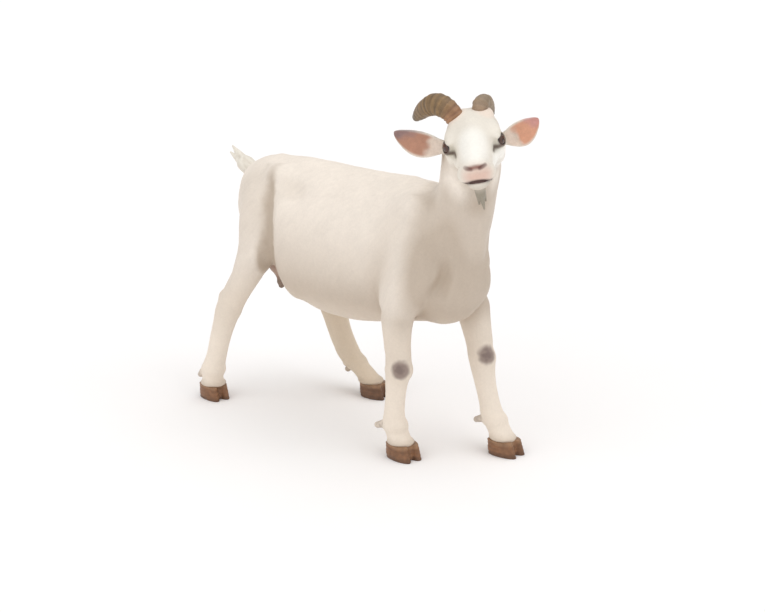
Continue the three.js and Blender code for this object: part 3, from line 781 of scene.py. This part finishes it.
def surface_net(field, low, high, cell):
    """One vertex in each cell that the surface crosses, and a quad round each edge that it crosses.

    Each vertex comes with the middle of its cell.
    """
    low = np.array(low, float)
    count = np.ceil((np.array(high) - low) / (cell * BLOCK)).astype(int) * BLOCK + 1
    values = sample(field, low, count, cell)
    inside = values < 0
    total = np.zeros(count - 1, np.int8)
    for i, j, k in CORNERS:
        total += inside[i:count[0] - 1 + i, j:count[1] - 1 + j, k:count[2] - 1 + k]
    cells = np.argwhere((total > 0) & (total < 8))
    at_corner = {c: values[tuple((cells + c).T)] for c in CORNERS}
    spots, hits = np.zeros((len(cells), 3)), np.zeros(len(cells))
    for a in CORNERS:
        for axis in range(3):
            if a[axis]:
                continue
            b = tuple(c + (n == axis) for n, c in enumerate(a))
            crossed = (at_corner[a] < 0) != (at_corner[b] < 0)
            spot = np.repeat(np.array([a], float), len(cells), 0)
            spot[:, axis] += at_corner[a] / np.where(crossed, at_corner[a] - at_corner[b], 1)
            spots[crossed] += spot[crossed]
            hits += crossed
    index = np.full(count - 1, -1, np.int64)
    index[tuple(cells.T)] = np.arange(len(cells))
    quads = []
    for axis in range(3):
        u, v = (axis + 1) % 3, (axis + 2) % 3
        step = np.eye(3, dtype=int)[axis]
        window = [slice(1, -1)] * 3
        window[axis] = slice(0, -1)
        starts_inside = inside[tuple(window)]
        window[axis] = slice(1, None)
        edges = np.argwhere(starts_inside != inside[tuple(window)]) + 1 - step
        ring = []
        for back_u, back_v in ((1, 1), (0, 1), (0, 0), (1, 0)):
            spot = edges.copy()
            spot[:, u] -= back_u
            spot[:, v] -= back_v
            ring.append(index[tuple(spot.T)])
        ring = np.stack(ring, 1)
        outward = inside[tuple(edges.T)]
        ring[~outward] = ring[~outward][:, ::-1]
        quads.append(ring)
    spots = np.stack([cells + spots / hits[:, None], cells + 0.5], 1)
    return low + spots * cell, np.concatenate(quads)


def gradient(field, points, step=0.02):
    """The field's slope, from four samples round each point."""
    out = np.zeros_like(points)
    for s in ((1, -1, -1), (-1, -1, 1), (-1, 1, -1), (1, 1, 1)):
        out += evaluate(field, points + step * np.array(s))[:, None] * s
    return out / (4 * step)


def settle(fields, vertices, centres, cell):
    """Vertices moved onto the surface, and onto the edge itself in a cell that two fields cross."""
    whole = meeting(fields)
    for _ in range(2):
        slope = gradient(whole, vertices)
        move = -evaluate(whole, vertices)[:, None] * slope / np.maximum((slope**2).sum(1), 0.05)[:, None]
        size = length(move) + 1e-12
        vertices = vertices + move * np.minimum(1, cell / size)[:, None]
    if len(fields) == 1:
        return vertices
    values = np.stack([evaluate(f, vertices) for f in fields])
    order = np.argsort(-values, axis=0)[:2]
    second = np.take_along_axis(values, order[1:2], 0)[0]
    for i in range(len(fields)):
        for j in range(i + 1, len(fields)):
            pair = ((order[0] == i) & (order[1] == j)) | ((order[0] == j) & (order[1] == i))
            spot = np.nonzero(pair & (second > -1.2 * cell))[0]
            for field in (fields[i], fields[j]):
                if len(spot):
                    spot = spot[crosses(field, centres[spot], cell)]
            if len(spot):
                vertices[spot] = onto_edge(fields[i], fields[j], vertices[spot], centres[spot], cell)
    return vertices


def crosses(field, centres, cell):
    """Whether a field changes sign between the corners of the cells round some centres."""
    values = np.stack([field(centres + (np.array(c) - 0.5) * cell) for c in CORNERS])
    return (values.min(0) < 0) & (values.max(0) > 0)


def onto_edge(first, second, points, centres, cell):
    """Points moved to where two fields are both 0, except those that would leave their cells."""
    start = points
    for _ in range(4):
        slopes = np.stack([gradient(f, points) for f in (first, second)], 1)
        values = np.stack([first(points), second(points)], 1)
        gram = slopes @ slopes.transpose(0, 2, 1) + 0.003 * np.eye(2)
        points = points - (slopes.transpose(0, 2, 1) @ np.linalg.solve(gram, values[:, :, None]))[:, :, 0]
    far = (np.abs(points - centres) > 0.8 * cell).any(1)
    missed = np.maximum(np.abs(first(points)), np.abs(second(points))) > EDGE_MISS
    return np.where((far | missed)[:, None], start, points)


# ---- Relief: shallow combed streaks -------------------------------------------------------------
def lattice_noise(p, seed=0):
    """Smooth noise from -1 to 1, a unit across."""
    whole = np.floor(p)
    part = p - whole
    part = part * part * (3 - 2 * part)
    whole = whole.astype(np.int64)
    total = np.zeros(len(p))
    for corner in CORNERS:
        x, y, z = (whole + corner).T
        code = (x * 73856093) ^ (y * 19349663) ^ (z * 83492791) ^ (seed * 2654435761)
        code = (code ^ (code >> 13)) * 1274126177 & 0xFFFFFFFF
        code = (code ^ (code >> 16)) & 0xFFFF
        weight = np.prod(np.where(corner, part, 1 - part), axis=1)
        total += weight * (code / 32767.5 - 1)
    return total


def ramp(x, start, end):
    """From 0 at the start to 1 at the end, smoothly. It falls where the start is the higher one."""
    t = np.clip((x - start) / (end - start), 0, 1)
    return t * t * (3 - 2 * t)


def hair_flow(p):
    """The way that the coat lies."""
    x, _, z = p.T
    flow = np.tile([-0.62, 0.0, -0.78], (len(p), 1))
    down = np.maximum(ramp(z, 40, 32), ramp(x + 0.5 * z, 44, 54))
    flow = blend(flow, np.array([-0.1, 0.0, -1.0]), down)
    flow = blend(flow, -HEAD_AXES[:, 0], ramp(neck_side(p), -2, 2))
    flow = blend(flow, -HEAD_AXES[:, 2], ramp(beard(to_head(p)), 1.0, 0.2))
    return flow / length(flow)[:, None]


def blend(a, b, share):
    share = np.clip(share, 0, 1)[:, None]
    return a * (1 - share) + b * share


def layered(colour, layers):
    """Paints laid on in turn, each with its share at every vertex."""
    for paint, share in layers:
        colour = blend(colour, paint, share)
    return colour


def streaks(p, flow, across, reach, seed=0):
    """Noise drawn out along the flow: `across` wide, and about twice `reach` long."""
    steps = np.linspace(-reach, reach, 7)
    total = sum(lattice_noise((p + s * flow) / across, seed) for s in steps)
    return total / len(steps) * 1.8


def coat_relief(p):
    """How far the coat stands out, from strands and from the soft unevenness of a hand-made master."""
    flow = hair_flow(p)
    on_head = ramp(neck_side(p), -2, 2)
    low = ramp(p[:, 2], 36, 26)
    tuft = ramp(beard(to_head(p)), 1.0, 0.2)
    strength = 0.06 * (1 - on_head) * (1 - 0.45 * low) + 0.022 * on_head + 0.07 * tuft
    fine = streaks(p, flow, 0.62, 1.5)
    broad = streaks(p, flow, 1.3, 3.0, 1)
    swell = lattice_noise(p / 5.5, 2)
    return strength * (0.55 * fine + 0.75 * broad) + 0.07 * (1 - on_head) * swell


def tail_strands(p):
    return streaks(p, np.tile([-0.82, 0.0, 0.57], (len(p), 1)), 0.5, 1.4, 3)


def tail_relief(p):
    return 0.1 * tail_strands(p)


def horn_relief(name):
    """Fine lengthwise lines across the rings."""
    path = HORNS[name]
    reach = path[-1, :3] - path[3, :3]
    axis = HEAD_AXES @ (reach / length(reach))
    return lambda p: 0.03 * streaks(p, np.tile(axis, (len(p), 1)), 0.35, 1.0, 4)


def soft_relief(p):
    return 0.025 * lattice_noise(p / 1.1, 5) + 0.012 * lattice_noise(p / 0.4, 6)


# ---- Paint: a colour for each vertex, from where it lies ----------------------------------------
def srgb(red, green, blue):
    c = np.array([red, green, blue]) / 255
    return ((c + 0.055) / 1.055) ** 2.4


CREAM = srgb(241, 231, 219)
# A warm grey for the toy's wash, and for painted shade.
WASH_AND_SHADE = srgb(176, 158, 138)
SHADED_STRAW = srgb(190, 168, 136)
CHALK = srgb(233, 227, 215)
# White for the nose's bridge, and painted light on the left cheek.
BRIDGE_WHITE_AND_CHEEK_LIGHT = srgb(254, 252, 245)
SHANK_CREAM = srgb(238, 225, 209)
MUZZLE_PINK = srgb(228, 196, 180)
HORN_SKIN = srgb(242, 220, 204)
NOSTRIL = srgb(92, 52, 46)
NOSE_BAND = srgb(138, 92, 80)
LIP = srgb(72, 42, 36)
LID = srgb(84, 60, 50)
TEAR = srgb(96, 78, 66)
EYE_SHADOW = srgb(178, 172, 152)
# The right ear's colours are darker and greyer than the left's: painted shade on the right ear.
EAR_INSIDE = {"ear_right": srgb(174, 107, 72), "ear_left": srgb(216, 144, 106)}
EAR_TIP = {"ear_right": srgb(134, 116, 120), "ear_left": srgb(206, 150, 150)}
EAR_ROOT = srgb(222, 200, 184)
KNEE = srgb(142, 124, 116)
KNEE_CORE = srgb(112, 94, 88)
DEWCLAW = srgb(150, 134, 122)
# Grey for painted shade on the beard.
BEARD_SHADE = srgb(146, 138, 122)
HORN_BROWN = srgb(140, 112, 76)
HORN_GROOVE = srgb(98, 78, 54)
HORN_ROOT = srgb(172, 122, 92)
HORN_TIP = srgb(112, 102, 88)
HORN_GREY = srgb(158, 142, 122)
HOOF_BROWN = srgb(132, 92, 62)
HOOF_DARK = srgb(84, 58, 42)
HOOF_RIM = srgb(164, 128, 96)
UDDER_PINK = srgb(182, 154, 138)
TEAT = srgb(132, 112, 98)
# From the middle of a knee to the middle of its patch.
KNEE_FRONT = {"leg_front_right": (2.4, -2.0, 0.4), "leg_front_left": (3.0, -1.1, 0.9)}
IRIS = srgb(74, 44, 30)
PUPIL = srgb(14, 9, 8)


def inside(distance, soft):
    """1 well inside a shape and 0 outside it, over an edge `soft` wide."""
    return ramp(-distance, -soft / 2, soft / 2)


def brushed(p, size=0.8, amount=0.22, seed=7):
    """An uneven edge for paint laid on by hand."""
    return amount * lattice_noise(p / size, seed)


def paint_coat(p, normal):
    colour = np.tile(CREAM, (len(p), 1))
    # Darker paint where the surface is hollow, near and far: partly the toy's wash, partly painted shade.
    for reach, threshold, strength in ((0.7, 0.16, 1.3), (2.2, 0.14, 1.1), (6.0, 0.16, 0.8)):
        hollow = 1 - evaluate(coat, p + reach * normal) / reach
        colour = blend(colour, WASH_AND_SHADE, strength * np.clip(hollow - threshold, 0, 0.6))
    thin = streaks(p, hair_flow(p), 0.62, 1.5)
    colour = colour * (1 + 0.035 * thin)[:, None]
    colour = colour * (1 + 0.02 * lattice_noise(p / 6, 8))[:, None]
    colour = blend(colour, WASH_AND_SHADE, 0.75 * flank_shade(p))
    colour = blend(colour, WASH_AND_SHADE, body_shade(p, normal))
    colour = paint_legs(p, colour)
    near = neck_side(p) > -6
    colour[near] = paint_face(p[near], colour[near])
    for name in EARS:
        colour[near] = paint_ear(p[near], colour[near], name)
    return colour


def flank_shade(p):
    """Painted shade and the toy's wash in the flank's crease: it starts sharply at the belly's rear edge
    and fades to the rear.
    """
    x, y, z = p.T
    order = np.argsort(FLANK_CREASE[:, 2])
    crease = np.interp(z, FLANK_CREASE[order, 2], FLANK_CREASE[order, 0])
    behind = crease + thigh_forward(p) + 0.9 - x + brushed(p, 1.2, 0.3)
    tall = ramp(z, 31, 36) * ramp(z, 61.5, 55)
    edge = 0.5 + 1.6 * ramp(z, 50, 60)
    return ramp(behind, -0.3, edge) * ramp(behind, 5.0, 1.8) * tall * (np.abs(y) > 4)


def body_shade(p, normal):
    """Painted shade in warm grey: under the belly, down the neck's front, round the shoulder and on the
    haunch.
    """
    x, _, z = p.T
    from_legs = np.min([column(p, part["rows"]) for part in LEGS.values()], axis=0)
    belly = 0.68 * ramp(z, 55, 30) * ramp(from_legs, -0.6, 2.0) * ramp(x, -26, -20)
    front = 0.56 * ramp(normal[:, 0], -0.9, 0.0) * ramp(x, 20, 26) * ramp(neck_side(p), 1, -3)
    left = mirrored(p)
    beside = 0.34 * inside(egg(left, (30.0, 9.0, 47.0), (4.2, 5.5, 11.0), (0, 8, 0)), 6.0)
    shoulder = 0.2 * inside(egg(left, (19.0, 8.0, 46.0), (8.0, 6.0, 12.0)), 8.0)
    haunch = 0.24 * inside(egg(left, (-31.0, 8.0, 45.0), (9.0, 8.0, 14.0)), 8.0)
    return np.clip(belly + (front + beside) * ramp(z, 27, 35) + shoulder + haunch, 0, 0.75)


def paint_legs(p, colour):
    x, y, z = p.T
    colour = blend(colour, SHANK_CREAM, 0.8 * ramp(z, 36, 26))
    # Painted shade on the legs at and below the belly's height.
    colour = blend(colour, WASH_AND_SHADE, 0.22 * ramp(z, 40, 32) * ramp(z, 14, 24))
    # The left hind leg is painted yellower and darker: a yellow tint with painted shade on it.
    hind_left = ramp(y, 2, 6) * ramp(x, -2, -6) * ramp(z, 34, 28)
    colour = blend(colour, SHADED_STRAW, 0.5 * hind_left)
    for name, part in LEGS.items():
        rows = part["rows"]
        if part["front"]:
            middle = np.array(leg_point(rows, part["joint"] + 0.5)) + KNEE_FRONT[name]
            patch = egg(p, middle, (2.0, 2.2, 2.2)) + brushed(p)
            colour = blend(colour, KNEE, 0.92 * inside(patch, 1.3))
            colour = blend(colour, KNEE_CORE, 0.6 * inside(patch + 1.1 + brushed(p, 0.6, 0.5, 16), 1.2))
        for apart in DEWCLAWS_AT:
            claw = dewclaw(p, rows, part["front"], apart) - 0.1 + brushed(p, 0.5)
            colour = blend(colour, DEWCLAW, 0.55 * inside(claw, 0.5))
    # Darker just above the hooves.
    return blend(colour, WASH_AND_SHADE, 0.5 * ramp(z, 5.2, 3.4))


def paint_face(p, colour):
    q = to_head(p)
    left = mirrored(q)
    uneven = brushed(p)
    colour = blend(colour, CHALK, 0.85 * ramp(neck_side(p), 1, 6))
    colour = blend(colour, BRIDGE_WHITE_AND_CHEEK_LIGHT, 0.8 * inside(egg(q, (12.5, 0, -2.0), (6.5, 3.2, 3.0)), 2.5))
    colour = layered(colour, [
        (MUZZLE_PINK, ramp(-egg(q, (19.6, 0.4, -4.8), (3.6, 4.2, 3.4)) + uneven, -0.6, 3.0)),
        # Painted light: the left cheek is painted lighter, as if it caught the light.
        (BRIDGE_WHITE_AND_CHEEK_LIGHT, 0.95 * inside(egg(q, (9.0, 5.0, -7.4), (5.4, 2.8, 3.6)), 3.0)),
        (HORN_SKIN, 0.6 * inside(egg(left, (1.0, 3.2, -0.4), (2.7, 2.4, 1.7)), 1.6)),
        # Painted shade under the jaw and on the beard's lower part.
        (WASH_AND_SHADE, 0.45 * ramp(q[:, 2], -7.4, -9.2) * ramp(neck_side(p), 0, 6)),
        (BEARD_SHADE, 0.9 * ramp(beard(q), 0.6, 0.1) * ramp(q[:, 2], -9.6, -11.8)),
    ])
    # Eyes: a greenish shadow, a dark rim and a stroke from the inner corner.
    shadow = cone(left, EYE + (0.2, 0.9, 0.1), (10.6, 4.3, -4.4), 2.1, 0.9)
    colour = blend(colour, EYE_SHADOW, 0.5 * inside(shadow + uneven, 1.2))
    beside = left * (1, 0, 1) + 40.0 * (left[:, 1:2] < 2.4)
    tear = cone(beside, (8.1, 0, -4.5), (10.3, 0, -4.8), 0.7, 0.3)
    colour = blend(colour, TEAR, 0.9 * inside(tear + 0.6 * uneven, 0.75))
    rim = length(left - EYE) - 1.17 * EYE_RADIUS
    colour = blend(colour, LID, 0.95 * inside(rim + 0.4 * uneven, 0.5))
    # Nostrils, the band that joins them, and the lips.
    band = cone(q, (19.6, -2.5, -2.55), (19.6, 2.5, -2.55), 0.45, 0.45)
    colour = blend(colour, NOSE_BAND, 0.95 * inside(band + 0.4 * uneven, 0.8))
    colour = blend(colour, NOSTRIL, inside(nostril(left) - 0.1 + 0.4 * uneven, 0.5))
    front = ramp(q[:, 0], 11.6, 13.4)
    gap = np.abs(q[:, 2] - mouth_line(q))
    colour = blend(colour, TEAR, 0.7 * front * ramp(gap, 1.3, 0.4))
    return blend(colour, LIP, front * ramp(-gap - 0.6 * uneven, -0.8, -0.4))


def paint_ear(p, colour, name):
    local, size = ear_local(p, name)
    u = local[:, 0] / size
    v, half, leaf = ear_leaf(local, size)
    on_ear = inside(ear(p, name) - 0.1, 0.5)
    hollow = ramp(leaf, 0.0, 0.4) * ramp(np.abs(v) / half, 1.0, 0.72)
    uneven = 0.06 * lattice_noise(p / 1.2, 9)
    colour = blend(colour, EAR_ROOT, 0.8 * on_ear * hollow * ramp(u, 0.0, 0.15))
    # The right ear's darker inside and tip are painted shade.
    colour = blend(colour, EAR_INSIDE[name], on_ear * hollow * ramp(u + uneven, 0.26, 0.42))
    tip = ramp(u - 0.22 * v / half + 2 * uneven, 0.66, 0.95)
    colour = blend(colour, EAR_TIP[name], 0.9 * on_ear * ramp(leaf, -0.3, 0.2) * tip)
    return blend(colour, WASH_AND_SHADE, 0.35 * on_ear * ramp(leaf, 0.0, -0.3) * ramp(u, 0.5, 0.9))


def paint_horn(name):
    def paint(p, normal):
        _, along = horn(p, name)
        rings = horn_rings(p, along)
        colour = np.tile(HORN_BROWN, (len(p), 1))
        colour = blend(colour, HORN_GROOVE, 0.75 * (1 - rings) ** 2)
        colour = blend(colour, HORN_ROOT, 0.55 * ramp(along, 0.34, 0.16))
        if name == "horn_left":
            colour = blend(colour, HORN_GREY, np.full(len(p), 0.6))
        colour = blend(colour, HORN_TIP, 0.75 * ramp(along + 0.08 * lattice_noise(p / 1.5, 10), 0.72, 0.95))
        return colour * (1 + 0.12 * lattice_noise(p / 0.9, 11))[:, None]

    return paint


def paint_hoof(p, normal):
    _, y, z = p.T
    uneven = 0.3 * lattice_noise(p / 0.9, 12)
    colour = layered(np.tile(HOOF_BROWN, (len(p), 1)), [
        # Painted shade: darker on the left hind hoof and the left front one's outer side. Darker at the
        # sole too.
        (HOOF_DARK, 0.6 * ramp(y, 10, 12)),
        (HOOF_DARK, 0.7 * ramp(-z + uneven, -1.3, -0.1)),
        (HOOF_RIM, 0.6 * ramp(z + uneven, 2.5, 3.3)),
    ])
    mottle = 1 + 0.14 * lattice_noise(p / 0.6, 13) + 0.1 * lattice_noise(p / (3, 3, 0.3), 14)
    return colour * mottle[:, None]


def paint_udder(p, normal):
    colour = np.tile(UDDER_PINK, (len(p), 1))
    colour = blend(colour, TEAT, ramp(-p[:, 2] + brushed(p), -32.6, -30.4))
    return colour * (1 + 0.05 * lattice_noise(p / 1.5, 15))[:, None]


def paint_tail(p, normal):
    return blend(np.tile(CHALK, (len(p), 1)), WASH_AND_SHADE, 0.08 - 0.3 * tail_strands(p))


def paint_eye(side):
    centre = from_head(EYE * (1, side, 1))
    look = HEAD_AXES @ (EYE_LOOK * (1, side, 1) / length(EYE_LOOK))
    bar = HEAD_AXES @ np.array([0.9, -0.45 * side, 0.0])

    def paint(p, normal):
        out = (p - centre) @ look
        sideways = (p - centre) @ bar
        upward = length(np.cross(p - centre, bar)) ** 2 - out**2
        upward = np.sqrt(np.maximum(upward, 0))
        colour = np.tile(PUPIL, (len(p), 1))
        colour = blend(colour, IRIS, ramp(out, 0.62 * EYE_RADIUS, 0.72 * EYE_RADIUS))
        slit = np.maximum(np.abs(sideways) - 0.55, upward - 0.24)
        return blend(colour, PUPIL, inside(slit, 0.15))

    return paint


# ---- Pieces into Blender ------------------------------------------------------------------------
SHARP_ANGLE = 50  # degrees between faces that meet in a sharp edge


def main_body(vertices, quads):
    """The largest connected surface: crumbs that a cut leaves behind are dropped."""
    label = np.arange(len(vertices))
    edges = np.concatenate([quads[:, [i, (i + 1) % 4]] for i in range(4)])
    while True:
        low = np.minimum(label[edges[:, 0]], label[edges[:, 1]])
        new = label.copy()
        np.minimum.at(new, edges[:, 0], low)
        np.minimum.at(new, edges[:, 1], low)
        new = new[new]
        if (new == label).all():
            break
        label = new
    keep = label == np.bincount(label).argmax()
    number = np.cumsum(keep) - 1
    return vertices[keep], number[quads[keep[quads[:, 0]]]]


def sculpt(piece):
    """A piece's vertices, quads and colours."""
    fields = piece["fields"]
    low, high = piece["box"]
    cell = piece["cell"] * COARSENESS
    spots, quads = surface_net(meeting(fields), low, high, cell)
    spots, quads = main_body(spots, quads)
    vertices = settle(fields, spots[:, 0], spots[:, 1], cell)
    outer = np.abs(evaluate(fields[0], vertices)) < ON_SKIN
    normal = gradient(fields[0], vertices)
    normal /= length(normal)[:, None] + 1e-12
    colour = piece["paint"](vertices, normal)
    if piece["relief"]:
        from_end = np.min([-evaluate(f, vertices) for f in fields[1:]], axis=0, initial=2 * LAP)
        rise = piece["relief"](vertices)
        rise = np.where(outer, rise, np.minimum(rise, 0.0)) - SINK * ramp(-from_end, -0.75 * LAP, 0.0)
        vertices = vertices + rise[:, None] * normal
    return vertices, quads, np.clip(colour, 0, 1)


def make_piece(name, vertices, quads, colour, material):
    mesh = bpy.data.meshes.new(name)
    mesh.vertices.add(len(vertices))
    mesh.vertices.foreach_set("co", ((vertices + ORIGIN) * MM).astype(np.float32).ravel())
    mesh.loops.add(quads.size)
    mesh.loops.foreach_set("vertex_index", quads.astype(np.int32).ravel())
    mesh.polygons.add(len(quads))
    mesh.polygons.foreach_set("loop_start", np.arange(0, quads.size, 4, dtype=np.int32))
    mesh.polygons.foreach_set("use_smooth", np.ones(len(quads), bool))
    mesh.update(calc_edges=True)
    mesh.validate()
    mesh.set_sharp_from_angle(angle=np.radians(SHARP_ANGLE))
    paint = mesh.color_attributes.new("paint", "FLOAT_COLOR", "POINT")
    rgba = np.column_stack([colour, np.ones(len(colour))])
    paint.data.foreach_set("color", rgba.astype(np.float32).ravel())
    mesh.materials.append(material)
    piece = bpy.data.objects.new(name, mesh)
    bpy.context.scene.collection.objects.link(piece)
    return piece


# ---- Materials ----------------------------------------------------------------------------------
def noise_node(nodes, links, place, size, detail=4.0, stretch=None):
    """A noise texture whose features are about `size` millimetres across."""
    noise = nodes.new("ShaderNodeTexNoise")
    noise.inputs["Scale"].default_value = 1 / (size * MM)
    noise.inputs["Detail"].default_value = detail
    source = place
    if stretch:
        mapping = nodes.new("ShaderNodeMapping")
        mapping.inputs["Scale"].default_value = stretch
        links.new(place, mapping.inputs["Vector"])
        source = mapping.outputs["Vector"]
    links.new(source, noise.inputs["Vector"])
    return noise.outputs["Fac"]


def span(nodes, links, value, low, high):
    """A texture's middle range, stretched to run from low to high."""
    node = nodes.new("ShaderNodeMapRange")
    node.inputs["From Min"].default_value = 0.3
    node.inputs["From Max"].default_value = 0.7
    node.inputs["To Min"].default_value = low
    node.inputs["To Max"].default_value = high
    links.new(value, node.inputs["Value"])
    return node.outputs["Result"]


def paint_material(name, roughness, mottle, bumps, coat_weight=0.0):
    """Hand-laid paint on vinyl.

    roughness: lowest and highest. mottle: (size, darkest, lightest) rows, which multiply the colour.
    bumps: (size, height, stretch) rows, all in millimetres.
    """
    material = bpy.data.materials.new(name)
    material.use_nodes = True
    nodes, links = material.node_tree.nodes, material.node_tree.links
    shader = nodes["Principled BSDF"]
    place = nodes.new("ShaderNodeTexCoord").outputs["Object"]
    attribute = nodes.new("ShaderNodeAttribute")
    attribute.attribute_name = "paint"
    colour = attribute.outputs["Color"]
    for size, darkest, lightest in mottle:
        tint = span(nodes, links, noise_node(nodes, links, place, size), darkest, lightest)
        mix = nodes.new("ShaderNodeVectorMath")
        mix.operation = "SCALE"
        links.new(colour, mix.inputs[0])
        links.new(tint, mix.inputs["Scale"])
        colour = mix.outputs["Vector"]
    links.new(colour, shader.inputs["Base Color"])
    rough = span(nodes, links, noise_node(nodes, links, place, 1.6), *roughness)
    links.new(rough, shader.inputs["Roughness"])
    shader.inputs["Coat Weight"].default_value = coat_weight
    shader.inputs["Coat Roughness"].default_value = 0.06
    normal = None
    for size, height, stretch in bumps:
        bump = nodes.new("ShaderNodeBump")
        bump.inputs["Distance"].default_value = height * MM
        links.new(noise_node(nodes, links, place, size, 3.0, stretch), bump.inputs["Height"])
        if normal:
            links.new(normal, bump.inputs["Normal"])
        normal = bump.outputs["Normal"]
    links.new(normal, shader.inputs["Normal"])
    return material


def coat_material():
    """Matt, with faint streaks that run down."""
    mottle = [(5.0, 0.975, 1.015), (0.5, 0.97, 1.02)]
    bumps = [(0.32, 0.05, (1.0, 1.0, 0.3)), (0.14, 0.016, None)]
    return paint_material("painted_coat", (0.5, 0.68), mottle, bumps)


def ear_material():
    mottle = [(1.2, 0.93, 1.05), (0.3, 0.96, 1.03)]
    return paint_material("painted_ear", (0.5, 0.66), mottle, [(0.2, 0.03, None)])


def udder_material():
    return paint_material("painted_udder", (0.42, 0.58), [(1.5, 0.93, 1.04)], [(0.25, 0.03, None)])


def horn_material():
    mottle = [(2.0, 0.85, 1.12), (0.3, 0.9, 1.08)]
    return paint_material("painted_horn", (0.36, 0.55), mottle, [(0.25, 0.04, None)])


def hoof_material():
    return paint_material("painted_hoof", (0.34, 0.52), [(1.0, 0.85, 1.12)], [(0.22, 0.05, (1, 1, 2.5))])


def eye_material():
    """Glossy, under a clear coat."""
    mottle = [(0.25, 0.85, 1.2)]
    return paint_material("gloss_eye", (0.08, 0.14), mottle, [(0.4, 0.004, None)], coat_weight=0.3)


def floor_material():
    material = bpy.data.materials.new("pale_floor")
    material.use_nodes = True
    nodes, links = material.node_tree.nodes, material.node_tree.links
    shader = nodes["Principled BSDF"]
    place = nodes.new("ShaderNodeTexCoord").outputs["Object"]
    tone = nodes.new("ShaderNodeValToRGB")
    tone.color_ramp.elements[0].color = (*srgb(254, 252, 252), 1)
    tone.color_ramp.elements[1].color = (*srgb(255, 255, 255), 1)
    links.new(noise_node(nodes, links, place, 60.0, 2.0), tone.inputs["Fac"])
    links.new(tone.outputs["Color"], shader.inputs["Base Color"])
    shader.inputs["Roughness"].default_value = 0.9
    shader.inputs["Specular IOR Level"].default_value = 0.1
    return material


# ---- Pieces, floor, lights and camera -----------------------------------------------------------
def finish_of(name):
    """A piece's material slot, its relief and its paint."""
    if name.startswith("horn"):
        return "horn", horn_relief(name), paint_horn(name)
    if name.startswith("hoof"):
        return "hoof", soft_relief, paint_hoof
    if name.startswith("eye"):
        return "eye", None, paint_eye(1 if "left" in name else -1)
    if name == "udder":
        return "udder", soft_relief, paint_udder
    if name == "tail":
        return "coat", tail_relief, paint_tail
    if name.startswith("ear"):
        return "ear", coat_relief, paint_coat
    return "coat", coat_relief, paint_coat


def make_goat():
    materials = {
        "coat": coat_material(),
        "ear": ear_material(),
        "udder": udder_material(),
        "horn": horn_material(),
        "hoof": hoof_material(),
        "eye": eye_material(),
    }
    plan = pieces()
    for name, piece in plan.items():
        piece["slot"], piece["relief"], piece["paint"] = finish_of(name)
    with ThreadPoolExecutor(WORKERS) as workers:
        shapes = dict(zip(plan, workers.map(sculpt, plan.values())))
    for name, (vertices, quads, colour) in shapes.items():
        piece = make_piece(name + "_skin", vertices, quads, colour, materials[plan[name]["slot"]])
        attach(piece, "root")
        if not name.startswith("eye"):
            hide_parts(name)


def look_at(thing, target):
    thing.rotation_euler = (Vector(target) - thing.location).to_track_quat("-Z", "Y").to_euler()


def add_floor():
    reach = 4.0  # metres each way
    mesh = bpy.data.meshes.new("floor")
    corners = [(-reach, -reach, 0), (reach, -reach, 0), (reach, reach, 0), (-reach, reach, 0)]
    mesh.from_pydata(corners, [], [(0, 1, 2, 3)])
    mesh.materials.append(floor_material())
    floor = bpy.data.objects.new("floor", mesh)
    bpy.context.scene.collection.objects.link(floor)


def add_sun(name, place, spread, strength, colour):
    """A distant light. The wider its spread in degrees, the softer its shadows."""
    data = bpy.data.lights.new(name, "SUN")
    data.angle = np.radians(spread)
    data.energy = strength
    data.color = colour
    light = bpy.data.objects.new(name, data)
    light.location = place
    look_at(light, (0, 0, 0))
    bpy.context.scene.collection.objects.link(light)


def add_studio():
    add_sun("key", (0.1, 0.22, 1.0), 70, 0.96, (1.0, 0.99, 0.98))
    add_sun("front", (-0.1, -0.9, 0.65), 70, 0.72, (1.0, 0.99, 0.98))
    add_sun("side", (0.85, 0.15, 0.55), 60, 0.4, (1.0, 0.99, 0.985))
    world = bpy.data.worlds.new("studio")
    world.use_nodes = True
    background = world.node_tree.nodes["Background"]
    background.inputs["Color"].default_value = (1.0, 0.995, 0.995, 1)
    background.inputs["Strength"].default_value = 0.56
    scene = bpy.context.scene
    scene.world = world
    scene.view_settings.view_transform = "Standard"


# The camera, in the goat's own frame.
CAMERA_AT = np.array([361.46, -348.75, 192.51])
CAMERA_TARGET = np.array([21.12, -16.65, 38.0])
SENSOR_WIDTH = 36.0
LENS = 106.95


def add_camera():
    data = bpy.data.cameras.new("camera")
    data.sensor_width = SENSOR_WIDTH
    data.lens = LENS
    data.clip_start = 0.01
    camera = bpy.data.objects.new("camera", data)
    camera.location = (CAMERA_AT + ORIGIN) * MM
    look_at(camera, (CAMERA_TARGET + ORIGIN) * MM)
    bpy.context.scene.collection.objects.link(camera)
    bpy.context.scene.camera = camera


add_camera()
make_goat()
add_floor()
add_studio()
